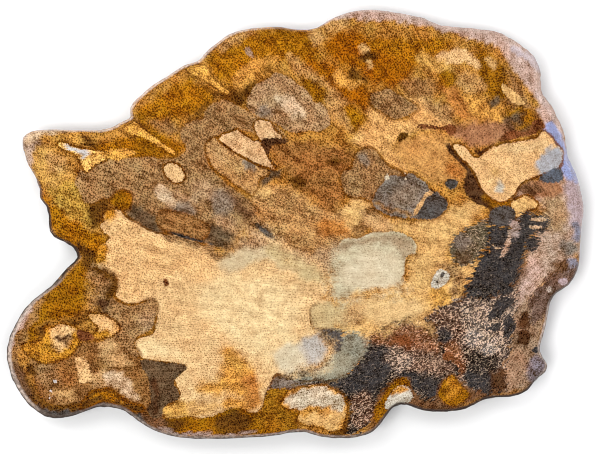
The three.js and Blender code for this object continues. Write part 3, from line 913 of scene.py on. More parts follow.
# ------------------------------ Laying the stains ------------------------------


@dataclass
class StainLayer:
    """Stains that lie clear of each other, kept as values at every place of the skin.

    Attributes:
        colour: Linear colour of the nearest stain.
        figure: Its pores, contrast and threads.
        depth: How far inside the nearest stain a place is, negative outside.
        border: Width over which that stain fades out, how far it is tattered and how dark its rim is.
    """

    colour: np.ndarray
    figure: np.ndarray
    depth: np.ndarray
    border: np.ndarray

    @classmethod
    def blank(cls, count: int, reach: float) -> "StainLayer":
        """Makes a layer for a count of places, with no stain within reach of any."""
        clear = np.zeros((count, 3))
        return cls(clear, clear.copy(), np.full(count, -reach), clear + (Stain.edge, 0, 0))


# Waves that soft outlines meander by, each as its pace along x and along y and its phase.
SWAY = ((1.9, 0.7, 0.0), (0.6, -2.3, 1.0), (3.9, 2.9, 0.0))
HEAVE = ((-0.8, 2.2, 2.0), (2.1, 0.9, 0.0), (-3.7, 3.3, 0.0))


@dataclass
class StainMap:
    """Sorts the stains into as few layers as keep overlapping ones apart.

    Attributes:
        places: Places of the skin, from the corner that the outlines are measured from.
        reach: How far beyond its outline a stain is still worked out.
        gap: Least distance between two stains of one layer.
        pieces: Straight pieces between two points of an outline.
        drift: How far a cloud's outline wanders.
        melting: Distance over which a crisp border turns into a melted one.
        melted: Width of a melted border.
        layers: The layers, from the ground up.
    """

    places: np.ndarray
    reach: float = 2.5
    gap: float = 0.9
    pieces: int = 4
    drift: float = 0.35
    melting: float = 2.0
    melted: float = 3.6
    layers: list[StainLayer] = field(default_factory=list)

    def depth_in(self, outline: str, places: np.ndarray) -> np.ndarray:
        """Measures how deep places lie inside an outline, to no more than the reach outside it.

        Args:
            outline: The outline's points, as in a stain.
            places: One place per row.

        Returns:
            The depth of each place.
        """
        loop = smooth_loop(read_outline(outline), self.pieces)
        near = np.all((places > loop.min(0) - self.reach) & (places < loop.max(0) + self.reach), axis=1)
        depth = np.full(len(places), -self.reach)
        depth[near] = np.maximum(depth_inside(places[near], loop), -self.reach)
        return depth

    def wandered(self, places: np.ndarray) -> np.ndarray:
        """Shifts places a little to and fro, so that soft outlines meander.

        Args:
            places: One place per row.

        Returns:
            The shifted places.
        """
        x, y = places.T
        shifts = [sum(np.sin(a * x + b * y + phase) for a, b, phase in waves) for waves in (SWAY, HEAVE)]
        return places + self.drift / 2 * np.stack(shifts, axis=1)

    def painted(self, stain: Stain, places: np.ndarray) -> tuple[np.ndarray, np.ndarray]:
        """Lays a stain's clouds over its mineral.

        Args:
            stain: The stain.
            places: One place per row.

        Returns:
            Its colour and its figure at each place.
        """
        colour = np.tile(stain.mineral.value.linear(), (len(places), 1))
        figure = np.tile(stain.mineral.value.figure(), (len(places), 1))
        wandered = self.wandered(places)
        for cloud in stain.clouds:
            cover = smoothstep(self.depth_in(cloud.outline, wandered) / cloud.blur + 0.5)[:, None]
            colour += cover * (cloud.mineral.value.linear() - colour)
            figure += cover * (cloud.mineral.value.figure() - figure)
        return colour, figure

    def bordered(self, stain: Stain, places: np.ndarray) -> np.ndarray:
        """Works out a stain's border, which is wide and has no rim where the stain melts away.

        Args:
            stain: The stain.
            places: One place per row.

        Returns:
            The width, the tatter and the rim at each place.
        """
        border = np.tile([stain.edge, stain.tatter, stain.rind], (len(places), 1))
        for outline in stain.melts:
            share = smoothstep(self.depth_in(outline, places) / self.melting + 0.5)[:, None]
            border += share * (np.array([self.melted, stain.tatter, 0]) - border)
        return border

    def add(self, stain: Stain) -> int:
        """Puts a stain in the lowest layer that lies over all that it overlaps.

        Args:
            stain: The stain, or the ground first of all.

        Returns:
            The number of that layer, from 0 for the ground.
        """
        count = len(self.places)
        depth = self.depth_in(stain.outline, self.places) if stain.outline else np.full(count, self.reach)
        close = depth > -self.gap
        touched = [index for index, layer in enumerate(self.layers)
                   if np.any(close & (layer.depth > -self.gap))]
        level = max(touched, default=-1) + 1
        if level == len(self.layers):
            self.layers.append(StainLayer.blank(count, self.reach))
        layer = self.layers[level]
        mine = depth > layer.depth
        layer.colour[mine], layer.figure[mine] = self.painted(stain, self.places[mine])
        layer.depth[mine] = depth[mine]
        layer.border[mine] = self.bordered(stain, self.places[mine])
        return level


# ------------------------------ Finish ------------------------------


class Wiring:
    """Adds nodes to one node tree and joins them, so that a finish reads as a sum."""

    def __init__(self, tree: bpy.types.NodeTree) -> None:
        """Clears the node tree of a material or a world."""
        self.tree = tree
        tree.nodes.clear()

    def node(self, kind: str, feeds: dict[int | str, Feed] | None = None,
             **settings: object) -> bpy.types.Node:
        """Adds a node.

        Args:
            kind: Its type, without the shader node prefix.
            feeds: What feeds its inputs, by their number or name.
            settings: Its properties.

        Returns:
            The node.
        """
        made = self.tree.nodes.new("ShaderNode" + kind)
        for name, value in settings.items():
            setattr(made, name, value)
        for name, value in (feeds or {}).items():
            if isinstance(value, Socket):
                self.tree.links.new(value, made.inputs[name])
            else:
                made.inputs[name].default_value = value
        return made

    def math(self, operation: str, *terms: Feed) -> Socket:
        """Works out one sum of up to three terms."""
        return self.node("Math", dict(enumerate(terms)), operation=operation).outputs[0]

    def times(self, value: Feed, factor: Feed) -> Socket:
        """Multiplies a value by a factor."""
        return self.math("MULTIPLY", value, factor)

    def plus(self, start: Feed, value: Feed, factor: Feed = 1.0) -> Socket:
        """Adds a value, times a factor, to a start."""
        return self.math("MULTIPLY_ADD", value, factor, start)

    def ease(self, value: Feed, low: float, high: float) -> Socket:
        """Eases from 0 to 1 as a value goes from low to high."""
        feeds = {"Value": value, "From Min": low, "From Max": high}
        return self.node("MapRange", feeds, interpolation_type="SMOOTHSTEP").outputs["Result"]

    def mix(self, share: Feed, under: Feed, over: Feed, blend: str = "MIX") -> Socket:
        """Mixes two colours, by the share of the upper one."""
        feeds = {0: share, 6: under, 7: over}
        return self.node("Mix", feeds, data_type="RGBA", blend_type=blend, clamp_factor=True).outputs[2]

    def vector(self, x: Feed, y: Feed, z: Feed = 0.0) -> Socket:
        """Joins three numbers to one place."""
        return self.node("CombineXYZ", {0: x, 1: y, 2: z}).outputs[0]

    def scaled(self, place: Socket, factor: float) -> Socket:
        """Multiplies a place by a number."""
        return self.node("VectorMath", {0: place, "Scale": factor}, operation="SCALE").outputs[0]

    def drawn_out(self, place: Socket, squeeze: float) -> Socket:
        """Squeezes y, so that a texture is drawn out along it."""
        feeds = {"Vector": place, "Scale": (1.0, squeeze, 1.0)}
        return self.node("Mapping", feeds, vector_type="POINT").outputs[0]

    def split(self, place: Socket) -> tuple[Socket, Socket, Socket]:
        """Takes a place apart into its three numbers."""
        return tuple(self.node("SeparateXYZ", {0: place}).outputs)

    def noise(self, place: Socket, size: float, detail: float = 2.0, distortion: float = 0.0) -> Socket:
        """Makes a cloudy noise, from about -0.5 to 0.5.

        Args:
            place: Where it is read.
            size: Rough size of one cloud, in the units of the place.
            detail: How many finer noises lie on it.
            distortion: How much it swirls.

        Returns:
            The noise.
        """
        feeds = {"Vector": place, "Scale": 1 / size, "Detail": detail, "Distortion": distortion}
        return self.plus(-0.5, self.node("TexNoise", feeds).outputs["Fac"])

    def attribute(self, name: str) -> bpy.types.Node:
        """Reads a value that the mesh carries at each vertex."""
        return self.node("Attribute", attribute_type="GEOMETRY", attribute_name=name)


@dataclass(frozen=True)
class PolishedStone:
    """Finish of the slice: stains, the pores of the old wood in files along its rays, bark and polish.

    Attributes:
        pith: Where the wood's rays meet.
        seam: Bearing from the pith at which the pattern closes on itself, in degrees.
        bend: How far the rays bend from the straight, as a slope.
        bend_from: Distance from the pith at which they have bent by half of that.
        zones: Distances from the pith at which the files of pores have just their pitch.
        zone_blend: Half the distance over which one zone turns into the next.
        pore_pitch: Distance between two files of pores.
        streaks: Widths of the streaks along the rays, and how strong each is.
        grain: Size of the finest grain, and how strong it is.
        mottle: Size of the pale and dark mottles, and how strong they are.
        blush: Size of the redder and yellower mottles, and how strong they are.
        wobble: Size of the waves in the edge of a stain, and how far they stray.
        fray: Size of the frays in it, and how far they stray.
        rind_width: How far the dark rim of a stain reaches.
        rind: Display colour of that rim.
        pore: What a pore leaves of each colour.
        shade: What the darkest grain leaves of each colour.
        glow: How much the palest grain lifts it.
        ruddy: What the redder mottles leave of each colour.
        sallow: What the yellower mottles leave of each colour.
        thread: Display colour of the threads.
        thread_lift: How much paler than its mineral a thread is.
        bark: Display colours of the bark, from its fissures to its ridges.
        bark_lump: Size of the lumps that roughen the bark.
        bark_height: Height of the finest of them, in metres.
        crust_and_highlight: Display colour of the pale crust and painted highlights on the tumbled rim.
        painted_rim_shade: Display colour of the painted shade, a dark line round the lower rim.
        polish: Roughness and gloss of the polished face.
        dull: How much rougher the bark is, and how much of the gloss it lacks.
    """

    pith: Point = (44.5, -1.9)
    seam: float = 0.0
    bend: float = 0.4
    bend_from: float = 32.0
    zones: tuple[float, ...] = (20.0, 40.0, 66.0)
    zone_blend: float = 1.5
    pore_pitch: float = 0.38
    streaks: tuple[Point, ...] = ((0.28, 1.2), (1.1, 1.4))
    grain: Point = (0.18, 2.1)
    mottle: Point = (1.3, 1.6)
    blush: Point = (2.6, 2.5)
    wobble: Point = (1.5, 1.3)
    fray: Point = (0.32, 1.0)
    rind_width: float = 0.5
    rind: tuple[int, int, int] = (116, 64, 6)
    pore: tuple[float, float, float] = (0.24, 0.16, 0.07)
    shade: tuple[float, float, float] = (0.275, 0.215, 0.155)
    glow: tuple[float, float, float] = (1.2, 1.29, 1.5)
    ruddy: tuple[float, float, float] = (1.07, 0.93, 0.84)
    sallow: tuple[float, float, float] = (0.94, 1.06, 1.12)
    thread: tuple[int, int, int] = (198, 172, 146)
    thread_lift: tuple[float, float, float] = (4.5, 4.2, 4.0)
    bark: tuple[tuple[int, int, int], ...] = ((40, 26, 16), (112, 78, 46), (168, 140, 112))
    bark_lump: float = 0.9
    bark_height: float = 0.0002
    # Colours round the rim: pale crust with painted highlights, and painted shade.
    crust_and_highlight: tuple[int, int, int] = (206, 186, 172)
    painted_rim_shade: tuple[int, int, int] = (44, 30, 22)
    polish: Point = (0.12, 0.35)
    dull: Point = (0.4, 0.3)

    def stained(self, wiring: Wiring, place: Socket, strands: Socket, layers: int) -> tuple[Socket, Socket]:
        """Lays the layers of stains over each other.

        Args:
            wiring: The material's wiring.
            place: Place on the stone.
            strands: Strands along the rays, about 0 on average, that tatter a stain's edge.
            layers: How many layers the mesh carries.

        Returns:
            The colour, and the figure of the wood.
        """
        (wave, wobble), (size, fray) = self.wobble, self.fray
        stray = wiring.times(wiring.noise(place, wave, detail=2), wobble)
        stray = wiring.plus(stray, wiring.noise(place, size, detail=1), fray)
        colour = wiring.attribute("colour_0").outputs["Color"]
        figure = wiring.attribute("figure_0").outputs["Color"]
        for layer in range(1, layers):
            own = wiring.attribute(f"colour_{layer}")
            trait = wiring.attribute(f"figure_{layer}").outputs["Color"]
            edge, tatter, rind = wiring.split(wiring.attribute(f"border_{layer}").outputs["Color"])
            depth = wiring.plus(own.outputs["Alpha"], stray, wiring.plus(0.45, edge, 0.8))
            depth = wiring.plus(depth, strands, tatter)
            cover = wiring.ease(wiring.math("DIVIDE", depth, edge), -0.5, 0.5)
            rim = wiring.ease(depth, -self.rind_width, -0.4 * self.rind_width)
            colour = wiring.mix(wiring.times(rim, rind), colour, opaque(self.rind))
            colour = wiring.mix(cover, colour, own.outputs["Color"])
            figure = wiring.mix(cover, figure, trait)
        return colour, figure

    def round_pith(self, wiring: Wiring, place: Socket) -> tuple[Socket, Socket]:
        """Turns a place into the ray that it lies on and its distance from the pith.

        Args:
            wiring: The material's wiring.
            place: Place on the stone.

        Returns:
            The ray's bearing at the pith, in radians from the seam, and the distance.
        """
        feeds = {"Vector": place, "Center": (*self.pith, 0), "Angle": math.radians(180 - self.seam)}
        x, y, _ = wiring.split(wiring.node("VectorRotate", feeds, rotation_type="Z_AXIS").outputs[0])
        x = wiring.plus(-self.pith[0], x)
        y = wiring.plus(-self.pith[1], y)
        square = wiring.plus(wiring.times(x, x), y, y)
        growth = wiring.math("LOGARITHM", wiring.plus(1.0, square, self.bend_from**-2), math.e)
        ray = wiring.plus(wiring.math("ARCTAN2", y, x), growth, self.bend / 2)
        return ray, wiring.math("SQRT", square)

    def zoned(self, wiring: Wiring, rays: tuple[Socket, Socket],
              texture: Callable[[Wiring, Socket], Socket]) -> Socket:
        """Lays a texture along the rays, at nearly the same width near the pith and far from it.

        Args:
            wiring: The material's wiring.
            rays: Bearing of the ray, and the distance from the pith.
            texture: Makes the texture over places whose x runs across the rays and whose y runs along them.

        Returns:
            The texture, blended from one zone to the next.
        """
        ray, away = rays
        blended = texture(wiring, wiring.vector(wiring.times(ray, self.zones[0]), away))
        for inner, zone in zip(self.zones, self.zones[1:]):
            value = texture(wiring, wiring.vector(wiring.times(ray, zone), away))
            border = (inner + zone) / 2
            share = wiring.ease(away, border - self.zone_blend, border + self.zone_blend)
            blended = wiring.plus(blended, wiring.plus(value, blended, -1.0), share)
        return blended

    def pore_cells(self, wiring: Wiring, place: Socket, pores: Socket) -> Socket:
        """Sets pores in files: large and close where the wood shows well, small and few where it doesn't.

        Args:
            wiring: The material's wiring.
            place: Place across and along the rays.
            pores: How much of the pores shows.

        Returns:
            How dark the pore is at each place, 0 between the pores.
        """
        feeds = {"Vector": wiring.scaled(place, 1 / self.pore_pitch), "Scale": 1.0, "Randomness": 0.8}
        cells = wiring.node("TexVoronoi", feeds, voronoi_dimensions="2D", feature="F1")
        size = wiring.plus(0.22, pores, 0.2)
        dot = wiring.ease(wiring.math("DIVIDE", cells.outputs["Distance"], size), 1.0, 0.3)
        luck = wiring.plus(pores, wiring.split(cells.outputs["Color"])[0])
        return wiring.times(dot, wiring.ease(luck, 0.45, 1.1))

    def curls(self, wiring: Wiring, place: Socket, threads: Socket) -> Socket:
        """Draws fine curling threads, drawn out a little along the rays.

        Args:
            wiring: The material's wiring.
            place: Place across and along the rays.
            threads: How much is crossed by threads.

        Returns:
            How much of the thread covers each place.
        """
        swirl = wiring.noise(wiring.drawn_out(place, 0.5), 0.37, detail=1, distortion=0.5)
        depth = wiring.plus(wiring.times(threads, 0.085), wiring.math("ABSOLUTE", swirl), -1.0)
        return wiring.times(wiring.ease(depth, -0.02, 0.025), wiring.ease(threads, 0.0, 0.12))

    def streaked(self, wiring: Wiring, place: Socket) -> Socket:
        """Draws fine and broad streaks along the rays.

        Args:
            wiring: The material's wiring.
            place: Place across and along the rays.

        Returns:
            How pale the streak is, about 0 on average.
        """
        drawn = wiring.drawn_out(place, 0.16)
        total: Socket | float = 0.0
        for width, strength in self.streaks:
            total = wiring.plus(total, wiring.noise(drawn, width, detail=1), strength)
        return total

    def strands(self, wiring: Wiring, place: Socket) -> Socket:
        """Draws short ragged strands along the rays, from about -1 to 1."""
        return wiring.times(wiring.noise(wiring.drawn_out(place, 0.35), 0.4, detail=2), 4.0)

    def wood(self, wiring: Wiring, place: Socket, rays: tuple[Socket, Socket], colour: Socket,
             figure: Socket) -> Socket:
        """Draws the grain, the pores and the threads of the old wood.

        Args:
            wiring: The material's wiring.
            place: Place on the stone.
            rays: Bearing of the ray, and the distance from the pith.
            colour: Colour of the stains.
            figure: How much of the pores, the contrast and the threads shows.

        Returns:
            The colour of the polished face.
        """
        pores, contrast, threads = wiring.split(figure)
        (size, strength), (mottle, mottling), (blush, blushing) = self.grain, self.mottle, self.blush
        grain = wiring.noise(place, size, detail=0)
        tone = self.zoned(wiring, rays, self.streaked)
        tone = wiring.plus(tone, wiring.noise(place, mottle, detail=2), mottling)
        tone = wiring.plus(0.5, wiring.plus(tone, grain, strength), contrast)
        hue = wiring.plus(0.5, wiring.noise(place, blush, detail=3), wiring.times(contrast, blushing))
        for share, low, high in ((hue, self.ruddy, self.sallow), (tone, self.shade, self.glow)):
            colour = wiring.mix(1.0, colour, wiring.mix(share, (*low, 1), (*high, 1)), "MULTIPLY")

        dark = self.zoned(wiring, rays, partial(self.pore_cells, pores=pores))
        colour = wiring.mix(dark, colour, wiring.mix(1.0, colour, (*self.pore, 1), "MULTIPLY"))

        line = self.zoned(wiring, rays, partial(self.curls, threads=threads))
        line = wiring.times(line, wiring.ease(grain, -0.25, 0.1))
        bright = wiring.mix(1.0, colour, (*self.thread_lift, 1), "MULTIPLY")
        return wiring.mix(line, colour, wiring.mix(0.4, opaque(self.thread), bright))

    def barked(self, wiring: Wiring, rough: Socket, fissure: Socket, stain: Socket) -> Socket:
        """Colours the bark, dark in its fissures and pale on its ridges.

        Args:
            wiring: The material's wiring.
            rough: Height of its lumps, about 0 on average.
            fissure: Depth of its fissures.
            stain: Colour of the stains behind it.

        Returns:
            The colour of the bark.
        """
        dark, middle, pale = map(opaque, self.bark)
        skin = wiring.mix(wiring.ease(rough, -0.2, 0.05), dark, middle)
        skin = wiring.mix(wiring.ease(rough, 0.06, 0.25), skin, pale)
        skin = wiring.mix(0.35, skin, stain)
        return wiring.mix(wiring.times(fissure, 0.8), skin, dark)

    def material(self, layers: int) -> bpy.types.Material:
        """Builds the material.

        Args:
            layers: How many layers of stains the mesh carries.

        Returns:
            The material.
        """
        material = bpy.data.materials.new("polished_petrified_wood")
        material.use_nodes = True
        wiring = Wiring(material.node_tree)
        place = wiring.scaled(wiring.node("TexCoord").outputs["Object"], 1 / MM)
        rays = self.round_pith(wiring, place)
        colour, figure = self.stained(wiring, place, self.zoned(wiring, rays, self.strands), layers)
        face = self.wood(wiring, place, rays, colour, figure)

        edge = wiring.attribute("edge")
        bark, crust_and_highlight, fissure = wiring.split(edge.outputs["Color"])
        rough = wiring.noise(place, self.bark_lump, detail=5)
        barky = wiring.ease(wiring.plus(bark, rough, 0.5), 0.25, 0.75)
        # Painted shade: a dark line round the lower rim, darkest in the hollows of the bark.
        painted_rim_shade_share = wiring.times(edge.outputs["Alpha"], wiring.ease(rough, 0.35, 0.0))
        # Pale speckled crust along the rim, with painted highlights where the rounded rim catches the lamps.
        speck = wiring.ease(wiring.noise(place, 0.5, detail=3), -0.08, 0.12)
        crust_and_highlight_share = wiring.times(crust_and_highlight, wiring.plus(0.4, speck, 0.6))
        whole = wiring.mix(barky, face, self.barked(wiring, rough, fissure, colour))
        whole = wiring.mix(painted_rim_shade_share, whole, opaque(self.painted_rim_shade))
        whole = wiring.mix(crust_and_highlight_share, whole, opaque(self.crust_and_highlight))

        (roughness, gloss), (rougher, duller) = self.polish, self.dull
        unpolished = wiring.math("MAXIMUM", barky, painted_rim_shade_share)
        height = wiring.times(wiring.plus(0.5, rough), barky)
        bump = wiring.node("Bump", {"Strength": 0.5, "Distance": self.bark_height, "Height": height})
        shader = wiring.node("BsdfPrincipled", {
            "Base Color": whole,
            "Roughness": wiring.plus(roughness, unpolished, rougher),
            "Specular IOR Level": wiring.plus(gloss, unpolished, -duller),
            "IOR": 1.54,
            "Normal": bump.outputs[0],
        })
        wiring.node("OutputMaterial", {"Surface": shader.outputs[0]})
        return material


# ------------------------------ The stone ------------------------------


@dataclass(frozen=True)
class RimArc:
    """A stretch of the rim with pale crust and painted highlight, or with a dark line of painted shade.

    Attributes:
        toward: Bearing of its middle from the heart, in degrees.
        reach: Half of its length, in degrees.
        strength: How pale or dark its middle is, 0 to 1.
    """

    toward: float
    reach: float
    strength: float


@dataclass
class Skin:
    """The slice's mesh, and what its bark and its stains are laid by.

    Attributes:
        mesh: The mesh.
        places: Where its vertices lie, in millimetres.
        rim: How far down the edge each lies, 1 at the underside, and 0 for those on a face.
        under: Whether it lies on the underside.
        bearing: Its bearing from the heart, in degrees.
        fissures: Depth of the bark's fissures there, 0 to 1.
    """

    mesh: bpy.types.Mesh
    places: np.ndarray
    rim: np.ndarray
    under: np.ndarray
    bearing: np.ndarray
    fissures: np.ndarray

    def carry(self, name: str, three: np.ndarray, fourth: np.ndarray | float = 1.0) -> None:
        """Gives each vertex four numbers that the finish reads.

        Args:
            name: Name of the attribute.
            three: Three columns of numbers, such as a colour.
            fourth: One more column, or a number for all vertices.
        """
        values = np.column_stack([three, np.broadcast_to(fourth, len(three))]).astype(np.float32)
        attribute = self.mesh.attributes.new(name, "FLOAT_COLOR", "POINT")
        attribute.data.foreach_set("color", values.ravel())


def band(value: np.ndarray, start: float, rise: float, end: float, fall: float) -> np.ndarray:
    """Rises from 0 to 1 where the rise starts, and falls again where the fall starts."""
    return smoothstep((value - start) / rise) * (1 - smoothstep((value - end) / fall))


@dataclass
class PolishedSlice:
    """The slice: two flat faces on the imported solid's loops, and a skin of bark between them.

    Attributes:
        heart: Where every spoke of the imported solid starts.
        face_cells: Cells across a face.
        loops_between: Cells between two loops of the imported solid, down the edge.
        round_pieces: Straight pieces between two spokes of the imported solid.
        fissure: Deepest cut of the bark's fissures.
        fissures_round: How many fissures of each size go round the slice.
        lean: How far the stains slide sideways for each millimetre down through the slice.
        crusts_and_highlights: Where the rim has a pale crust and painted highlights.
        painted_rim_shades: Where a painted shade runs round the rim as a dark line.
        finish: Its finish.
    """

    heart: Point = (0.5455, -1.0521)
    face_cells: int = 190
    loops_between: int = 3
    round_pieces: int = 4
    fissure: float = 0.35
    fissures_round: tuple[int, ...] = (83, 127, 191)
    lean: Point = (0.10, -0.06)
    # Pale crust along the rim, with painted highlights where the rounded rim catches the lamps.
    crusts_and_highlights: tuple[RimArc, ...] = (
        RimArc(toward=38, reach=50, strength=0.3),
        RimArc(toward=130, reach=38, strength=0.85),
        RimArc(toward=204, reach=14, strength=0.8),
        RimArc(toward=-105, reach=45, strength=0.45),
        RimArc(toward=-24, reach=9, strength=0.9),
    )
    # Painted shade as a dark line, on the lower and the lower left side of the rim.
    painted_rim_shades: tuple[RimArc, ...] = (
        RimArc(toward=240, reach=65, strength=1.0),
        RimArc(toward=300, reach=65, strength=1.0),
        RimArc(toward=190, reach=26, strength=1.0),
    )
    finish: PolishedStone = PolishedStone()

    def packed_loops(self) -> np.ndarray:
        """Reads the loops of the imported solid.

        Returns:
            The loops from the upper face down, each with its points in order round the slice.
        """
        solid = bmesh.new()
        solid.from_mesh(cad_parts[NODE].data)
        bmesh.ops.remove_doubles(solid, verts=solid.verts, dist=1e-6)
        corners = np.array([vertex.co[:] for vertex in solid.verts]) / MM
        solid.free()
        bearing = np.arctan2(corners[:, 1] - self.heart[1], corners[:, 0] - self.heart[0])
        level = corners[:, 2].round(2)
        heights = np.unique(level)[::-1]
        start = bearing[level == heights[0]].min() - 1e-3
        turn = (bearing - start) % (2 * math.pi)
        order = [np.argsort(np.where(level == height, turn, np.inf)) for height in heights]
        return np.array([corners[row[: np.sum(level == height)]] for row, height in zip(order, heights)])

    def block(self, levels: int) -> bmesh.types.BMesh:
        """Makes a square block with as many cells as the slice: x and y from -1 to 1, z from -1 to 0.

        Args:
            levels: Cells down the edge.

        Returns:
            The block.
        """
        block = bmesh.new()
        bmesh.ops.create_grid(block, x_segments=self.face_cells, y_segments=self.face_cells, size=1)
        raised = bmesh.ops.extrude_face_region(block, geom=block.faces[:], use_keep_orig=True)
        lower = [item for item in raised["geom"] if isinstance(item, bmesh.types.BMVert)]
        bmesh.ops.translate(block, verts=lower, vec=(0, 0, -1))
        upright = [edge for edge in block.edges if abs(edge.verts[0].co.z - edge.verts[1].co.z) > 0.5]
        bmesh.ops.subdivide_edges(block, edges=upright, cuts=levels - 1, use_grid_fill=True)
        bmesh.ops.recalc_face_normals(block, faces=block.faces[:])
        return block

    @staticmethod
    def square_turn(across: np.ndarray, along: np.ndarray) -> np.ndarray:
        """Gives how far round a square each of its points lies, anticlockwise from +X.

        Args:
            across: x of each point.
            along: y of each point.

        Returns:
            The share of a whole turn, from 0 to 1.
        """
        wide = np.abs(across) >= np.abs(along)
        longer = np.where(wide, across, along)
        ratio = np.where(wide, along, -across) / np.where(longer == 0, 1, longer)
        quarter = np.where(wide, 0, 0.25) + np.where(longer < 0, 0.5, 0)
        return (quarter + ratio / 8) % 1

    def laid(self, loops: np.ndarray, turn: np.ndarray, level: np.ndarray) -> np.ndarray:
        """Finds places on the edge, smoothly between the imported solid's loops and spokes.

        Args:
            loops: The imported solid's loops.
            turn: Share of a turn round the slice.
            level: How many loops down the edge.

        Returns:
            The places.
        """
        finer = np.array([smooth_loop(loop, self.round_pieces) for loop in loops])
        count = finer.shape[1]
        spoke = np.floor(turn * count).astype(int) % count
        share = (turn * count % 1)[:, None]
        down = (1 - share) * finer[:, spoke] + share * finer[:, (spoke + 1) % count]
        down = np.concatenate([2 * down[:1] - down[1:2], down, 2 * down[-1:] - down[-2:-1]])
        row = np.clip(np.floor(level).astype(int), 0, len(loops) - 2)
        nearby = (down[row + step, np.arange(len(row))] for step in range(4))
        return catmull_rom(*nearby, (level - row)[:, None])

    def relief(self, turn: np.ndarray, height: np.ndarray, share: np.ndarray) -> np.ndarray:
        """Works out how deep the bark's fissures are.

        Args:
            turn: Share of a turn round the slice.
            height: Height over the underside.
            share: How far down the edge, 0 at the upper face and 1 at the underside.

        Returns:
            The depth of the fissures, 0 to 1.
        """
        wave = np.zeros(len(turn))
        for index, fissures in enumerate(self.fissures_round):
            bend = 1.3 * np.sin(0.9 * height + index + 9 * math.pi * turn * (index + 1))
            wave += np.cos(2 * math.pi * fissures * turn + bend) / len(self.fissures_round)
        fade = smoothstep((share - 0.3) / 0.2) * smoothstep((1 - share) / 0.15)
        return fade * np.clip(0.35 + wave, 0, 1) ** 1.5

    @staticmethod
    def strength(arcs: tuple[RimArc, ...], bearing: np.ndarray) -> np.ndarray:
        """Works out how strong a crust or a dark line is round the rim.

        Args:
            arcs: Its stretches.
            bearing: Bearing from the heart, in degrees.

        Returns:
            The strength, 0 to 1.
        """
        strength = np.zeros(len(bearing))
        for arc in arcs:
            away = np.abs((bearing - arc.toward + 180) % 360 - 180)
            strength = np.maximum(strength, arc.strength * smoothstep((1 - away / arc.reach) * 2))
        return strength

    def model(self) -> Skin:
        """Models the skin: a block's cells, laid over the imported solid's loops.

        Returns:
            The skin.
        """
        loops = self.packed_loops()
        block = self.block(self.loops_between * (len(loops) - 1))
        cells = np.array([vertex.co[:] for vertex in block.verts])
        radius = np.abs(cells[:, :2]).max(axis=1)
        turn = self.square_turn(cells[:, 0], cells[:, 1])
        share = -cells[:, 2]
        edge = self.laid(loops, turn, share * (len(loops) - 1))
        outermost = radius > 1 - 1e-6
        fissures = np.where(outermost, self.relief(turn, edge[:, 2], share), 0)
        spoke = edge[:, :2] - self.heart
        out = spoke / np.linalg.norm(spoke, axis=1)[:, None]
        flat = np.array(self.heart) + radius[:, None] * spoke - (self.fissure * fissures)[:, None] * out
        places = np.column_stack([flat, edge[:, 2]])
        for vertex, place in zip(block.verts, places):
            vertex.co = place * MM
        mesh = bpy.data.meshes.new("polished_slice")
        block.to_mesh(mesh)
        block.free()
        mesh.shade_smooth()
        bearing = np.degrees(np.arctan2(out[:, 1], out[:, 0]))
        under = ~outermost & (share > 0.5)
        return Skin(mesh, places, np.where(outermost, share, 0), under, bearing, fissures)

    def weather(self, skin: Skin) -> None:
        """Marks the bark of the flank, the rim's crust and painted highlights, and its painted shade.

        Args:
            skin: The skin.
        """
        bark = np.where(skin.under, 0, band(skin.rim, 0.22, 0.3, 0.92, 0.1))
        # Pale crust with painted highlights, and a dark line of painted shade, round the rim.
        crust_and_highlight = self.strength(self.crusts_and_highlights, skin.bearing) * band(skin.rim, 0.1, 0.08, 0.24, 0.08)
        painted_rim_shade = self.strength(self.painted_rim_shades, skin.bearing) * band(skin.rim, 0.1, 0.12, 0.8, 0.2)
        skin.carry("edge", np.column_stack([bark, crust_and_highlight, skin.fissures]), painted_rim_shade)

    def stain(self, skin: Skin) -> int:
        """Lays the stains on the skin.

        Args:
            skin: The skin.

        Returns:
            How many layers they take.
        """
        corner = np.array(CAD_BOX[0])[:2] / MM
        sunk = skin.places[:, 2:].max() - skin.places[:, 2:]
        stains = StainMap(skin.places[:, :2] - corner - sunk * np.array(self.lean))
        for stain in STAINS:
            level = stains.add(stain)
            clouds = ", ".join(cloud.name for cloud in stain.clouds)
            log.debug("layer %d: %s, with %s", level, stain.name, clouds or "no clouds")
        for index, layer in enumerate(stains.layers):
            skin.carry(f"colour_{index}", layer.colour, layer.depth)
            skin.carry(f"figure_{index}", layer.figure)
            skin.carry(f"border_{index}", layer.border)
        return len(stains.layers)

    def build(self) -> bpy.types.Object:
        """Models the slice and dresses it.

        Returns:
            The piece.
        """
        skin = self.model()
        self.weather(skin)
        layers = self.stain(skin)
        skin.mesh.materials.append(self.finish.material(layers))
        piece = bpy.data.objects.new("polished_slice", skin.mesh)
        bpy.context.scene.collection.objects.link(piece)
        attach(piece, "root")
        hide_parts(NODE)
        log.info("%s: %d faces, %d layers of stains", piece.name, len(skin.mesh.polygons), layers)
        return piece


# ------------------------------ The studio ------------------------------


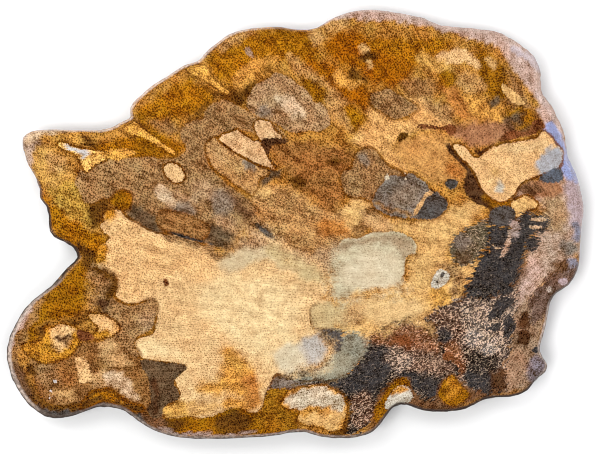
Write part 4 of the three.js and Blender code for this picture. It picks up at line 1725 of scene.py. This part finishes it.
@dataclass(frozen=True)
class Lamp:
    """A soft light.

    Attributes:
        name: Its name.
        bearing: Where it stands, in degrees anticlockwise from +X.
        power: Its power in watts.
        slope: How far it stands from overhead, in degrees.
        distance: How far away it is, in metres.
        size: Its width and height, in metres.
        tint: Its linear colour.
        mirrored: Whether polished stone reflects it.
    """

    name: str
    bearing: float
    power: float
    slope: float = 21.0
    distance: float = 0.62
    size: Point = (0.2, 0.2)
    tint: tuple[float, float, float] = (1.0, 1.0, 1.0)
    mirrored: bool = False

    def hang(self) -> None:
        """Hangs the lamp, turned to the slice."""
        lamp = bpy.data.lights.new(self.name, "AREA")
        lamp.shape = "RECTANGLE"
        lamp.size, lamp.size_y = self.size
        lamp.energy = self.power
        lamp.color = self.tint
        holder = bpy.data.objects.new(self.name, lamp)
        turn, slope = math.radians(self.bearing), math.radians(self.slope)
        out = np.array([math.sin(slope) * math.cos(turn), math.sin(slope) * math.sin(turn), math.cos(slope)])
        holder.location = out * self.distance
        holder.rotation_euler = (0, slope, turn)
        holder.visible_glossy = self.mirrored
        bpy.context.scene.collection.objects.link(holder)


@dataclass
class Studio:
    """A pale floor, soft lights and a camera almost overhead.

    Attributes:
        aim: What the middle of the picture shows, in millimetres.
        tilt: How far the camera leans from overhead, in degrees.
        lean_toward: Bearing that it leans toward, in degrees.
        view_width: Width that the picture takes in at the aim, in millimetres.
        lens: Focal length, in millimetres.
        sensor: Width of the sensor, in millimetres.
        floor_reach: Half the width of the floor, in metres.
        lamps: The lights.
    """

    aim: tuple[float, float, float] = (0.5, -0.59, 5.0)
    tilt: float = 3.5
    lean_toward: float = 250.0
    view_width: float = 96.0
    lens: float = 100.0
    sensor: float = 36.0
    floor_reach: float = 3.0
    lamps: tuple[Lamp, ...] = (
        Lamp("key", bearing=130, power=1.15),
        Lamp("left_fill", bearing=212, power=2.3),
        Lamp("right_fill", bearing=40, power=0.4),
        Lamp("near_fill", bearing=310, power=1.2),
        Lamp("shoulder_strip", bearing=36, power=0.8, slope=58, distance=0.5, size=(0.3, 0.3),
             tint=(0.96, 0.94, 1.0), mirrored=True),
        Lamp("lobe_strip", bearing=150, power=0.8, slope=62, distance=0.5, size=(0.15, 0.4), mirrored=True),
    )

    def lay_floor(self) -> None:
        """Lays the floor."""
        ground = bmesh.new()
        bmesh.ops.create_grid(ground, x_segments=1, y_segments=1, size=self.floor_reach)
        mesh = bpy.data.meshes.new("floor")
        ground.to_mesh(mesh)
        ground.free()
        floor = bpy.data.objects.new("floor", mesh)
        bpy.context.scene.collection.objects.link(floor)
        paint = bpy.data.materials.new("floor")
        paint.use_nodes = True
        shader = paint.node_tree.nodes["Principled BSDF"]
        shader.inputs["Base Color"].default_value = (0.8, 0.8, 0.8, 1)
        shader.inputs["Roughness"].default_value = 0.9
        shader.inputs["Specular IOR Level"].default_value = 0.1
        mesh.materials.append(paint)

    def set_sky(self) -> None:
        """Sets a dim sky that is bright near the horizon."""
        world = bpy.data.worlds.new("studio")
        world.use_nodes = True
        wiring = Wiring(world.node_tree)
        height = wiring.split(wiring.node("TexCoord").outputs["Generated"])[2]
        glow = wiring.plus(0.05, wiring.ease(height, 0.4, 0.1), 0.5)
        light = wiring.node("Background", {"Color": (1, 1, 1, 1), "Strength": glow})
        wiring.node("OutputWorld", {"Surface": light.outputs[0]})
        bpy.context.scene.world = world

    def mount_camera(self) -> None:
        """Mounts the camera, with +Y up in the picture."""
        camera = bpy.data.cameras.new("camera")
        camera.lens = self.lens
        camera.sensor_width = self.sensor
        camera.clip_end = 20
        holder = bpy.data.objects.new("camera", camera)
        bpy.context.scene.collection.objects.link(holder)
        tilt, toward = math.radians(self.tilt), math.radians(self.lean_toward)
        back = Vector((math.sin(tilt) * math.cos(toward), math.sin(tilt) * math.sin(toward), math.cos(tilt)))
        right = Vector((0, 1, 0)).cross(back).normalized()
        up = back.cross(right)
        distance = self.view_width * self.lens / self.sensor
        place = (Vector(self.aim) + back * distance) * MM
        turned = Matrix((right, up, back)).transposed().to_4x4()
        holder.matrix_world = Matrix.Translation(place) @ turned
        bpy.context.scene.camera = holder

    def build(self) -> None:
        """Builds the studio."""
        self.lay_floor()
        self.set_sky()
        for lamp in self.lamps:
            lamp.hang()
        self.mount_camera()
        bpy.context.scene.view_settings.view_transform = "Standard"
        bpy.context.scene.cycles.filter_width = 1.0
        log.info("studio: floor, %d lamps and a camera", len(self.lamps))


def main() -> None:
    """Builds the slice and the studio, and reports each."""
    logging.basicConfig(level=logging.INFO, format="%(name)s: %(message)s")
    PolishedSlice().build()
    Studio().build()


if __name__ == "__main__":
    main()
